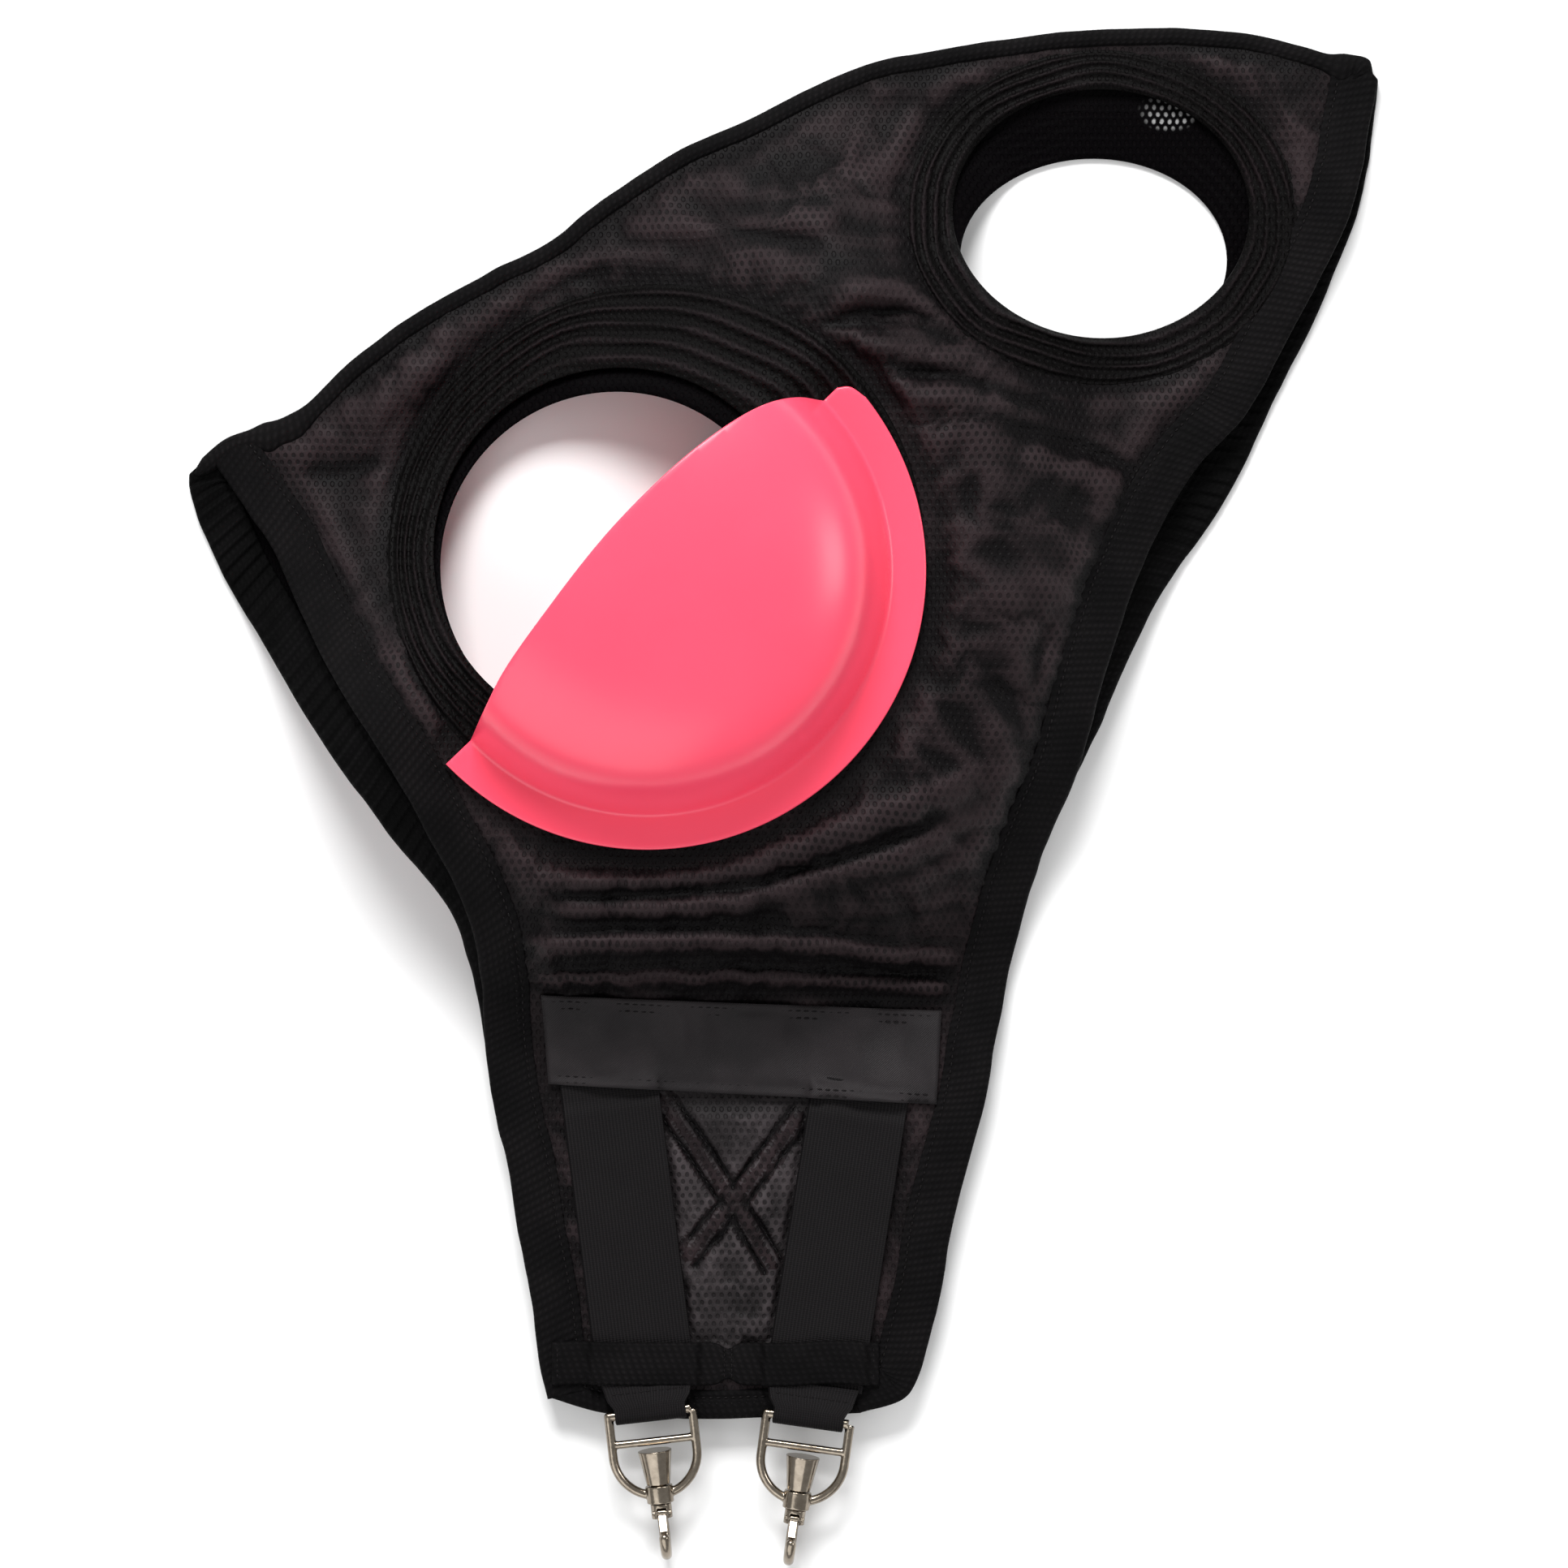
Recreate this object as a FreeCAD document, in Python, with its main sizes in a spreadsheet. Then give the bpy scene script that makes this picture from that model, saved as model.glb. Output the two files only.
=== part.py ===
"""Half-cup blinker hood for a racehorse, folded flat on its near and far sides.

Frame: X towards the poll, Y towards the crown seam, Z up, all in millimetres. The hood lies on
its far side: the far cup points down and holds up the middle, and the soft edges drape to z = 0.
The near side lies on top of the far side. The throat flap, with its two elastic straps and its
swivel snap hooks, points towards -Y.
"""

import FreeCAD, Part
import math
import os

V = FreeCAD.Vector
doc = FreeCAD.newDocument("blinker_hood")

# ---------------------------------------------------------------- driving dimensions
SIZES = {
    # fabric layers, measured upwards from the underside of the far panel
    "cloth_thick": 1.2,
    "layer_gap": 1.4,
    "rim_extra": 0.6,
    "edge_extra": 0.6,
    "edge_lift": 0.75,
    "flap_lift": 4.2,
    "binding_wide": 14.0,
    "crown_wide": 4.5,
    "hem_wide": 8.5,
    "patch_thick": 1.0,
    "loop_patch_thick": 1.35,
    "loop_patch_wide": 48.0,
    "loop_patch_long": 70.0,
    "loop_patch_z": 3.55,
    # moulded cups
    "cup_radius": 81.5,
    "flange_wide": 10.5,
    "flange_thick": 2.2,
    "cup_wall": 2.0,
    "cup_height": 38.0,
    "cup_turn": 43.9,
    "cup_gap": 0.25,
    "cup_x": -40.0,
    "cup_y": 66.0,
    # how far the cloth runs from the cup down to the floor
    "drape_run": 78.0,
    # elastic straps
    "strap_wide": 29.0,
    "strap_thick": 1.4,
    "strap_base": 9.55,
    "strap_end_wide": 21.6,
    "strap_tongue": 9.0,
    # snap eye (the D that the strap holds)
    "eye_wire": 1.35,
    "eye_half": 12.4,
    "eye_leg": 12.4,
    "cross_at": 8.6,
    "cross_wire": 1.2,
    "boss_radius": 4.0,
    "boss_long": 5.2,
    "boss_at": 21.8,
    "bore_radius": 2.3,
    "snap_droop": 6.6,
    # snap hook
    "stem_radius": 2.25,
    "head_top_radius": 5.0,
    "head_low_radius": 3.5,
    "head_at": 11.3,
    "head_long": 10.2,
    "collar_radius": 3.1,
    "collar_at": 27.3,
    "collar_long": 4.3,
    "hook_ring": 6.3,
    "hook_wire": 1.6,
    "hook_centre": 36.3,
    "hook_sweep": 250.0,
    # spring gate
    "gate_wide": 2.4,
    "gate_thick": 1.2,
    "gate_long": 6.4,
    "gate_knuckle": 1.1,
    "pin_radius": 0.6,
    "pin_long": 5.4,
    "slot_side_gap": 0.2,
    "slot_long": 4.0,
    "drill_long": 10.0,
    "pivot_y": 29.9,
    "pivot_z": 1.7,
    "running_gap": 0.05,
    "bar_gap": 0.1,
    # how much thinner the strap is pressed where it folds round the bar
    "fold_press": 0.1,
    # how far the snap's stem runs into its head and its collar
    "stem_lap": 1.0,
    # how far a cutting tool reaches past each face
    "tool_over": 2.0,
    # D rings on the far side
    "ring_wire": 1.2,
    "ring_half": 11.3,
    "ring_leg": 5.0,
    "ring_tab_wide": 18.0,
    "ring_tab_long": 14.0,
    "ring_tab_roll": 1.2,
    "ring_tab_thick": 1.4,
    "ring_height": 2.5,
}

sheet = doc.addObject("Spreadsheet::Sheet", "sizes")
for row, (name, value) in enumerate(SIZES.items(), start=1):
    sheet.set("A%d" % row, name)
    sheet.set("B%d" % row, str(value))
    sheet.setAlias("B%d" % row, name)
doc.recompute()


def size(name):
    """A driving dimension as the sheet holds it."""
    return float(getattr(sheet, name))


parts = []


def keep(obj, label):
    """Registers an object as a sub-part under the name that it is handed in by."""
    obj.Label = label
    parts.append((label, obj))
    return obj


# ---------------------------------------------------------------- the draped surface
def smooth(u):
    """A step from 0 to 1 with level ends."""
    u = min(max(u, 0.0), 1.0)
    return u * u * (3.0 - 2.0 * u)


cup_turn = math.radians(size("cup_turn"))
FRONT_MARGIN = 6.0
PLATEAU_MARGIN = 4.0
PLATEAU = size("cup_height") + size("cup_gap") + size("rim_extra")
FLAP_RISE_START = -40.0
FLAP_RISE_END = -86.0


def cup_distance(x, y):
    """Distance in plan from a point to the half disc that the cup's flange stands on."""
    dx = x - size("cup_x")
    dy = y - size("cup_y")
    along = dx * math.cos(cup_turn) + dy * math.sin(cup_turn)
    rear = dx * math.sin(cup_turn) - dy * math.cos(cup_turn)
    reach = size("cup_radius") + PLATEAU_MARGIN
    front = rear + FRONT_MARGIN
    if front >= 0.0:
        return max(0.0, math.hypot(along, rear) - reach)
    return math.hypot(max(abs(along) - reach, 0.0), front)


def drape(x, y):
    """Height of the far panel's underside."""
    tent = 1.0 - smooth(cup_distance(x, y) / size("drape_run"))
    flap = smooth((FLAP_RISE_START - y) / (FLAP_RISE_START - FLAP_RISE_END))
    low = size("edge_lift")
    return low + (PLATEAU - low) * tent * (1.0 - flap) + size("flap_lift") * flap


GRID = 11.0
COLUMNS = range(-18, 19)
ROWS = range(-19, 23)
drape_surface = Part.BSplineSurface()
drape_surface.interpolate(
    [[V(i * GRID, j * GRID, drape(i * GRID, j * GRID)) for j in ROWS] for i in COLUMNS]
)
drape_face = drape_surface.toShape()

TOP_OF_CLOTH = size("cloth_thick")
NEAR_BASE = TOP_OF_CLOTH + size("layer_gap")
NEAR_TOP = NEAR_BASE + TOP_OF_CLOTH
# The upright prism that trims a piece of cloth: it starts below the floor and tops the cup.
PRISM_FROM = -20.0
PRISM_TALL = 150.0


def layer(outline, bottom, top):
    """A piece of cloth: the plan outline given thickness along the draped surface."""
    face = drape_face.copy()
    face.translate(V(0, 0, bottom))
    slab = face.extrude(V(0, 0, top - bottom))
    prism = outline.copy()
    prism.translate(V(0, 0, PRISM_FROM))
    prism = prism.extrude(V(0, 0, PRISM_TALL))
    solid = slab.common(prism)
    solids = sorted(solid.Solids, key=lambda piece: -piece.Volume)
    return solids[0]


# ---------------------------------------------------------------- plan outlines
# Each outline runs anticlockwise: down the nose edge, along the flap's end, up the neck edge and
# back along the crown, so that the cloth is always on its left.
CROWN = [(175.9, 213), (171, 218), (162, 219), (152, 222), (133, 225.8), (104, 226.9), (66, 224),
         (46, 220.5), (27, 217), (8, 209.5), (-11, 199.5), (-31, 191), (-50, 179), (-69, 164.5),
         (-88, 154.5), (-107, 144), (-127, 129), (-146, 112), (-165, 106)]
FAR_CORNER = (-175.7, 97)
NEAR_CORNER = (-170.5, 101.5)
FAR_NOSE = [FAR_CORNER, (-175.6, 91), (-169, 72.4), (-158.6, 53.2), (-134.9, 14.8), (-113.3, -14),
            (-98.4, -33), (-92, -52.4)]
NEAR_NOSE = [NEAR_CORNER, (-160, 86.8), (-150.5, 72.4), (-136, 41.2), (-112, 2.8), (-93.5, -33),
             (-89.5, -52.4)]
FLAP_NOSE_SIDE = [(-88.3, -71.6), (-85.4, -90.8), (-81.4, -110), (-78.5, -129.2), (-74.6, -148.4),
                  (-72.2, -167.6), (-69.8, -177.2)]
FLAP_END = [(-69.8, -177.2), (-52, -182), (-16, -183.5), (22.3, -182)]
FLAP_NECK_SIDE = [(22.3, -182), (36, -177), (40.6, -167.6), (45.6, -148.4), (49.4, -129), (54, -110),
                  (59.3, -90.8), (62.6, -71.6), (66.2, -52.4), (71.3, -33.2), (77.5, -14)]
FAR_NECK = [(85.4, 5.2), (94.6, 24.4), (103.2, 43.6), (113.5, 63), (127, 82), (137.5, 101),
            (146.6, 120.4), (156.2, 139.6), (164.6, 159), (171, 178), (174.3, 197), (175.9, 213)]
NEAR_NECK = [(85.4, 5.2), (91.7, 26.5), (99, 49.6), (107.3, 71.6), (122, 97.3), (136, 112),
             (151, 139.6), (161.5, 159), (169, 178), (173, 197), (175.9, 213)]
# Openings as centre x, centre y, half width, half height: the hole, then the rim's outer edge.
NEAR_EYE = [(-49, 72, 54, 54), (-38, 72, 79, 79)]
FAR_EYE = [(-50, 68, 51, 51), (-38, 70, 79, 79)]
NEAR_EAR = [(93.5, 172, 43.8, 36.7), (93.5, 171, 58, 49.5)]
FAR_EAR = [(91.4, 158.5, 39.5, 30), (91.4, 158.5, 53.5, 44)]
BEYOND = 6.0


def curve(points, shift=0.0):
    """A smooth curve through plan points, moved to the left of its direction by shift."""
    moved = []
    last = len(points) - 1
    for i, (x, y) in enumerate(points):
        before = points[max(i - 1, 0)]
        after = points[min(i + 1, last)]
        run = math.hypot(after[0] - before[0], after[1] - before[1])
        left = (-(after[1] - before[1]) / run, (after[0] - before[0]) / run)
        moved.append(V(x + shift * left[0], y + shift * left[1], 0))
    line = Part.BSplineCurve()
    line.interpolate(moved)
    return line.toShape(), moved[0], moved[-1]


def loop_face(lines):
    """The plan region inside curves that follow one another round."""
    return Part.Face(Part.Wire([curve(points)[0] for points in lines]))


def ribbon(points, inside):
    """A ribbon along an edge curve, from well outside the cloth to a distance inside it."""
    outer, outer_start, outer_end = curve(points, -BEYOND)
    inner, inner_start, inner_end = curve(points, inside)
    end_cap = Part.makeLine(outer_end, inner_end)
    start_cap = Part.makeLine(inner_start, outer_start)
    return Part.Face(Part.Wire(Part.__sortEdges__([outer, end_cap, inner, start_cap])))


def ellipse_face(x, y, half_x, half_y):
    """An elliptical plan region, wider than it is high."""
    centre = V(x, y, 0)
    if half_x == half_y:
        return Part.Face(Part.Wire(Part.Circle(centre, V(0, 0, 1), half_x).toShape()))
    return Part.Face(Part.Wire(Part.Ellipse(centre, half_x, half_y).toShape()))


crown_ribbon = ribbon(CROWN + [FAR_CORNER], size("crown_wide"))


def side_regions(corner, nose, neck, eye, ear):
    """The plan regions of one side's pieces, by piece."""
    nose_line = nose + FLAP_NOSE_SIDE
    neck_line = FLAP_NECK_SIDE + neck
    crown_line = CROWN + [corner]
    outline = loop_face([nose_line, FLAP_END, neck_line, crown_line])
    nose_band = ribbon(nose_line, size("binding_wide"))
    neck_band = ribbon(neck_line, size("binding_wide"))
    hem = ribbon(FLAP_END, size("hem_wide"))
    eye_hole, eye_rim = [ellipse_face(*oval) for oval in eye]
    ear_hole, ear_rim = [ellipse_face(*oval) for oval in ear]
    inner = outline.cut(crown_ribbon).cut(nose_band).cut(neck_band).cut(hem)
    return {
        "crown": outline.common(crown_ribbon),
        "nose": outline.common(nose_band).cut(crown_ribbon),
        "neck": outline.common(neck_band).cut(crown_ribbon),
        "hem": outline.common(hem).cut(nose_band).cut(neck_band),
        "eye": inner.common(eye_rim).cut(eye_hole),
        "ear": inner.common(ear_rim).cut(ear_hole),
        "panel": inner.cut(eye_rim).cut(ear_rim),
    }


def cloth(label, region, bottom, top):
    """Adds a sewn cloth piece that follows the drape."""
    obj = doc.addObject("Part::Feature", label)
    obj.Shape = layer(region, bottom, top)
    return keep(obj, label)


near = side_regions(NEAR_CORNER, NEAR_NOSE, NEAR_NECK, NEAR_EYE, NEAR_EAR)
far = side_regions(FAR_CORNER, FAR_NOSE, FAR_NECK, FAR_EYE, FAR_EAR)
edge_extra = size("edge_extra")
rim_extra = size("rim_extra")

cloth("near_panel", near["panel"], NEAR_BASE, NEAR_TOP)
cloth("far_panel", far["panel"], 0.0, TOP_OF_CLOTH)
cloth("crown_seam_tape", far["crown"], -edge_extra, NEAR_TOP + edge_extra)
for edge in ("nose", "neck"):
    cloth("near_%s_binding" % edge, near[edge], NEAR_BASE - edge_extra, NEAR_TOP + edge_extra)
    cloth("far_%s_binding" % edge, far[edge], -edge_extra, TOP_OF_CLOTH + edge_extra)
cloth("near_flap_hem", near["hem"], NEAR_BASE - edge_extra, NEAR_TOP + edge_extra)
cloth("far_flap_hem", far["hem"], -edge_extra, TOP_OF_CLOTH + edge_extra)
for opening in ("eye", "ear"):
    cloth("near_%s_rim" % opening, near[opening], NEAR_BASE, NEAR_TOP + rim_extra)
    cloth("far_%s_rim" % opening, far[opening], -rim_extra, TOP_OF_CLOTH)


# ---------------------------------------------------------------- bands and patches on the flap
def quad(corners):
    """A plan region with straight sides."""
    points = [V(x, y, 0) for x, y in corners]
    return Part.Face(Part.makePolygon(points + points[:1]))


BAND = [(-71.5, -58.5), (46.5, -63.2), (45.0, -90.8), (-69.5, -84.8)]
HOOK_PATCH = [(-38, -88), (8, -88), (8, -142), (-38, -142)]
band = quad(BAND)
cloth("near_strap_band", band.common(near["panel"]), NEAR_TOP, NEAR_TOP + TOP_OF_CLOTH)
cloth("far_strap_band", band.common(far["panel"]), -TOP_OF_CLOTH, 0.0)
cloth("hook_patch", quad(HOOK_PATCH), NEAR_BASE - size("patch_thick"), NEAR_BASE)


LOOP_PATCH_CORNER = (-39.0, -168.0)
loop_patch = doc.addObject("Part::Box", "loop_patch")
loop_patch.setExpression("Length", "sizes.loop_patch_wide")
loop_patch.setExpression("Width", "sizes.loop_patch_long")
loop_patch.setExpression("Height", "sizes.loop_patch_thick")
loop_patch.Placement.Base = V(*LOOP_PATCH_CORNER, size("loop_patch_z"))
keep(loop_patch, "loop_patch")


# ---------------------------------------------------------------- moulded half cups
# The dome's section: each point is a share of the dome's foot radius and of its height.
DOME = [(0.989, 0.118), (0.966, 0.237), (0.942, 0.368), (0.915, 0.487), (0.882, 0.595),
        (0.834, 0.684), (0.761, 0.768), (0.648, 0.853), (0.479, 0.932), (0.254, 0.984), (0.0, 1.0)]
# The free edge in plan, from the crown end to the throat end: along the chord, then forwards.
FREE_EDGE = [(71.5, 0), (66.7, 5.5), (57, 10.9), (35.2, 15.1), (2, 15.3), (-32.8, 10.6), (-51, 7),
             (-61, 3.65), (-71.5, 0)]
CROWN_END = (77.0, 0.0)
CROWN_END_MIDDLE = (79.9, -2.4)
CROWN_END_ANGLE = -5.5


def dome_section():
    """The half section of the dome and its flange, as a face in the XZ plane."""
    rim = size("cup_radius")
    foot = rim - size("flange_wide")
    flange = size("flange_thick")
    wall = size("cup_wall")
    top = size("cup_height")
    outside = [(foot, flange)] + [(r * foot, z * top) for r, z in DOME]
    inside = [(foot - wall, 0.0)]
    for i, (r, z) in enumerate(DOME[:-1]):
        before = outside[i]
        after = outside[i + 2]
        run = math.hypot(after[0] - before[0], after[1] - before[1])
        inwards = ((before[1] - after[1]) / run, (after[0] - before[0]) / run)
        inside.append((r * foot + wall * inwards[0], z * top + wall * inwards[1]))
    inside.append((0.0, top - wall))
    outer = Part.BSplineCurve()
    outer.interpolate([V(r, 0, z) for r, z in outside])
    inner = Part.BSplineCurve()
    inner.interpolate([V(r, 0, z) for r, z in inside])
    edges = [
        Part.makeLine(V(foot - wall, 0, 0), V(rim, 0, 0)),
        Part.makeLine(V(rim, 0, 0), V(rim, 0, flange)),
        Part.makeLine(V(rim, 0, flange), V(foot, 0, flange)),
        outer.toShape(),
        Part.makeLine(V(0, 0, top), V(0, 0, top - wall)),
        inner.toShape(),
    ]
    return Part.Face(Part.Wire(Part.__sortEdges__(edges)))


def cup_plan():
    """The plan of one half cup: the round rear edge and the free edge that bows forwards."""
    rim = size("cup_radius")
    end_angle = math.radians(CROWN_END_ANGLE)
    round_end = V(rim * math.cos(end_angle), rim * math.sin(end_angle), 0)
    middle = math.radians((CROWN_END_ANGLE - 180.0) / 2)
    rear = Part.Arc(V(-rim, 0, 0), V(rim * math.cos(middle), rim * math.sin(middle), 0), round_end)
    corner = Part.Arc(round_end, V(*CROWN_END_MIDDLE, 0), V(*CROWN_END, 0))
    free = Part.BSplineCurve()
    free.interpolate([V(x, y, 0) for x, y in FREE_EDGE])
    edges = [
        rear.toShape(),
        corner.toShape(),
        Part.makeLine(V(*CROWN_END, 0), V(*FREE_EDGE[0], 0)),
        free.toShape(),
        Part.makeLine(V(*FREE_EDGE[-1], 0), V(-rim, 0, 0)),
    ]
    return Part.Face(Part.Wire(edges))


def cup_shell():
    """Half of a shouldered dome on a flange."""
    dome = dome_section().revolve(V(0, 0, 0), V(0, 0, 1), 360)
    plan = cup_plan()
    plan.translate(V(0, 0, -1))
    return dome.common(plan.extrude(V(0, 0, size("cup_height") + 2))).Solids[0]


shell = cup_shell()
near_cup = doc.addObject("Part::Feature", "near_cup")
near_cup.Shape = shell
far_cup = doc.addObject("Part::Feature", "far_cup")
far_cup.Shape = shell.mirror(V(0, 0, 0), V(0, 0, 1))
turn = FreeCAD.Rotation(V(0, 0, 1), size("cup_turn"))
near_flange_z = PLATEAU + NEAR_TOP + rim_extra + size("cup_gap")
far_flange_z = PLATEAU - rim_extra - size("cup_gap")
near_cup.Placement = FreeCAD.Placement(V(size("cup_x"), size("cup_y"), near_flange_z), turn)
far_cup.Placement = FreeCAD.Placement(V(size("cup_x"), size("cup_y"), far_flange_z), turn)
keep(near_cup, "near_cup")
keep(far_cup, "far_cup")


# ---------------------------------------------------------------- helpers for hardware
def bind(obj, **links):
    """Binds properties of an object to expressions over the sheet."""
    for name, expression in links.items():
        obj.setExpression(name.replace("__", "."), expression)
    return obj


def cylinder(name, radius, height, place):
    """A cylinder whose radius and height follow the sheet."""
    obj = doc.addObject("Part::Cylinder", name)
    obj.Placement = place
    return bind(obj, Radius=radius, Height=height)


def ball(name, radius, x, y, z):
    """A ball whose radius follows the sheet."""
    obj = doc.addObject("Part::Sphere", name)
    obj.Placement = FreeCAD.Placement(V(x, y, z), FreeCAD.Rotation())
    return bind(obj, Radius=radius)


def block(name, length, width, height, place):
    """A box whose sides follow the sheet."""
    obj = doc.addObject("Part::Box", name)
    obj.Placement = place
    return bind(obj, Length=length, Width=width, Height=height)


def fuse(name, shapes):
    """Joins primitives into one casting."""
    obj = doc.addObject("Part::MultiFuse", name)
    obj.Shapes = shapes
    obj.Refine = True
    return obj


def cut(name, base, tool):
    """Takes a tool shape out of a base shape."""
    obj = doc.addObject("Part::Cut", name)
    obj.Base = base
    obj.Tool = tool
    return obj


def at(x, y, z, turn_to=None):
    """A placement at a point, with an optional rotation."""
    return FreeCAD.Placement(V(x, y, z), turn_to or FreeCAD.Rotation())


ALONG_X = FreeCAD.Rotation(V(0, 1, 0), 90)
TOWARDS_END = FreeCAD.Rotation(V(1, 0, 0), 90)
HALF_TURN = FreeCAD.Rotation(V(0, 0, 1), 180)


def d_frame(name, half, leg, wire):
    """A closed D of round wire in the XY plane, with its straight bar through the origin."""
    half_value, leg_value = size(half), size(leg)
    pieces = [
        cylinder(name + "_bar", "sizes." + wire, "2 * sizes." + half,
                 at(-half_value, 0, 0, ALONG_X)),
        cylinder(name + "_leg_a", "sizes." + wire, "sizes." + leg,
                 at(-half_value, 0, 0, TOWARDS_END)),
        cylinder(name + "_leg_b", "sizes." + wire, "sizes." + leg,
                 at(half_value, 0, 0, TOWARDS_END)),
        ball(name + "_corner_a", "sizes." + wire, -half_value, 0, 0),
        ball(name + "_corner_b", "sizes." + wire, half_value, 0, 0),
    ]
    bow = doc.addObject("Part::Torus", name + "_bow")
    bow.Angle3 = 180
    bow.Placement = at(0, -leg_value, 0, HALF_TURN)
    pieces.append(bind(bow, Radius1="sizes." + half, Radius2="sizes." + wire))
    return pieces


def snap_eye(side):
    """The cast D with its cross bar and the bored boss that the hook swivels in."""
    name = side + "_eye"
    pieces = d_frame(name, "eye_half", "eye_leg", "eye_wire")
    pieces.append(cylinder(name + "_cross", "sizes.cross_wire", "2 * sizes.eye_half",
                           at(-size("eye_half"), -size("cross_at"), 0, ALONG_X)))
    pieces.append(cylinder(name + "_boss", "sizes.boss_radius", "sizes.boss_long",
                           at(0, -size("boss_at"), 0, TOWARDS_END)))
    bore = cylinder(name + "_bore", "sizes.bore_radius", "sizes.boss_long + 2 * sizes.tool_over",
                    at(0, size("tool_over") - size("boss_at"), 0, TOWARDS_END))
    return cut(name + "_cast", fuse(name + "_body", pieces), bore)


HOOK_START_ANGLE = -175.0
HOOK_TIP_ANGLE = 85.0
SLOT_BEYOND_PIVOT = 2.5
SLOT_BELOW_PIVOT = 1.4


def snap_hook(side):
    """The flared head, stem, slotted collar and round hook in one casting."""
    name = side + "_hook"
    head = doc.addObject("Part::Cone", name + "_head")
    head.Placement = at(0, -size("head_at"), 0, TOWARDS_END)
    bind(head, Radius1="sizes.head_top_radius", Radius2="sizes.head_low_radius",
         Height="sizes.head_long")
    stem_from = size("head_at") + size("head_long") - size("stem_lap")
    stem = cylinder(name + "_stem", "sizes.stem_radius",
                    "sizes.collar_at + 2 * sizes.stem_lap - sizes.head_at - sizes.head_long",
                    at(0, -stem_from, 0, TOWARDS_END))
    collar = cylinder(name + "_collar", "sizes.collar_radius", "sizes.collar_long",
                      at(0, -size("collar_at"), 0, TOWARDS_END))
    bow = doc.addObject("Part::Torus", name + "_bow")
    bow.Placement = at(0, -size("hook_centre"), 0,
                       ALONG_X * FreeCAD.Rotation(V(0, 0, 1), HOOK_START_ANGLE))
    bind(bow, Radius1="sizes.hook_ring", Radius2="sizes.hook_wire", Angle3="sizes.hook_sweep")
    tip_angle = math.radians(HOOK_TIP_ANGLE)
    tip = ball(name + "_tip", "sizes.hook_wire", 0,
               -size("hook_centre") - size("hook_ring") * math.cos(tip_angle),
               size("hook_ring") * math.sin(tip_angle))
    body = fuse(name + "_body", [head, stem, collar, bow, tip])
    slot = block(name + "_slot", "sizes.gate_wide + 2 * sizes.slot_side_gap",
                 "sizes.slot_long", "sizes.slot_long",
                 at(-size("gate_wide") / 2 - size("slot_side_gap"),
                    -size("pivot_y") - SLOT_BEYOND_PIVOT, size("pivot_z") - SLOT_BELOW_PIVOT))
    pin_hole = cylinder(name + "_pin_hole", "sizes.pin_radius", "sizes.drill_long",
                        at(-size("drill_long") / 2, -size("pivot_y"), size("pivot_z"), ALONG_X))
    return cut(name + "_cast", body, fuse(name + "_voids", [slot, pin_hole]))


# From the pivot to the inside of the hook's tip: towards the tip, then upwards.
GATE_REACH = (-6.95, 4.58)
GATE_ANGLE = math.degrees(math.atan2(GATE_REACH[1], GATE_REACH[0]))


def snap_gate(side):
    """The sprung tongue that closes the hook, with its drilled knuckle."""
    name = side + "_gate"
    half = size("gate_wide") / 2
    lie = FreeCAD.Rotation(V(1, 0, 0), GATE_ANGLE)
    middle = lie.multVec(V(0, 0, -size("gate_thick") / 2))
    tongue = block(name + "_tongue", "sizes.gate_wide", "sizes.gate_long", "sizes.gate_thick",
                   FreeCAD.Placement(V(-half, -size("pivot_y"), size("pivot_z")) + middle, lie))
    knuckle = cylinder(name + "_knuckle", "sizes.gate_knuckle", "sizes.gate_wide",
                       at(-half, -size("pivot_y"), size("pivot_z"), ALONG_X))
    hole = cylinder(name + "_hole", "sizes.pin_radius + sizes.running_gap", "sizes.drill_long",
                    at(-size("drill_long") / 2, -size("pivot_y"), size("pivot_z"), ALONG_X))
    return cut(name + "_strip", fuse(name + "_body", [tongue, knuckle]), hole)


def gate_pin(side):
    """The rivet that the gate turns on."""
    return cylinder(side + "_gate_rivet", "sizes.pin_radius", "sizes.pin_long",
                    at(-size("pin_long") / 2, -size("pivot_y"), size("pivot_z"), ALONG_X))


# Outside radius of the strap's fold round the bar.
FOLD_RADIUS = size("eye_wire") + size("bar_gap") + size("strap_thick") - size("fold_press")


def strap_end(side):
    """The folded end of the strap, sewn round the bar of the snap's eye."""
    name = side + "_strap_end"
    half = size("strap_end_wide") / 2
    roll = doc.addObject("Part::Cylinder", name + "_roll")
    roll.Placement = at(-half, 0, 0, ALONG_X)
    bind(roll, Radius="sizes.eye_wire + sizes.bar_gap + sizes.strap_thick - sizes.fold_press",
         Height="sizes.strap_end_wide")
    tongue = block(name + "_tongue", "sizes.strap_end_wide", "sizes.strap_tongue",
                   "sizes.strap_thick", at(-half, 0, -FOLD_RADIUS))
    hole = cylinder(name + "_hole", "sizes.eye_wire + sizes.bar_gap",
                    "sizes.strap_end_wide + 2 * sizes.tool_over",
                    at(-half - size("tool_over"), 0, 0, ALONG_X))
    return cut(name + "_loop", fuse(name + "_body", [roll, tongue]), hole)


STRAP_JOIN_GAP = 0.3


def strap(side, long):
    """The elastic strap from the band down to its folded end."""
    half = size("strap_wide") / 2
    obj = doc.addObject("Part::Box", side + "_strap_web")
    bind(obj, Length="sizes.strap_wide", Width=str(long), Height="sizes.strap_thick")
    return obj, V(-half, size("strap_tongue") + STRAP_JOIN_GAP, -FOLD_RADIUS)


def place_on(obj, base, own):
    """Moves a finished piece from its own position by the assembly's placement."""
    obj.Placement = base.multiply(own)


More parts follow.
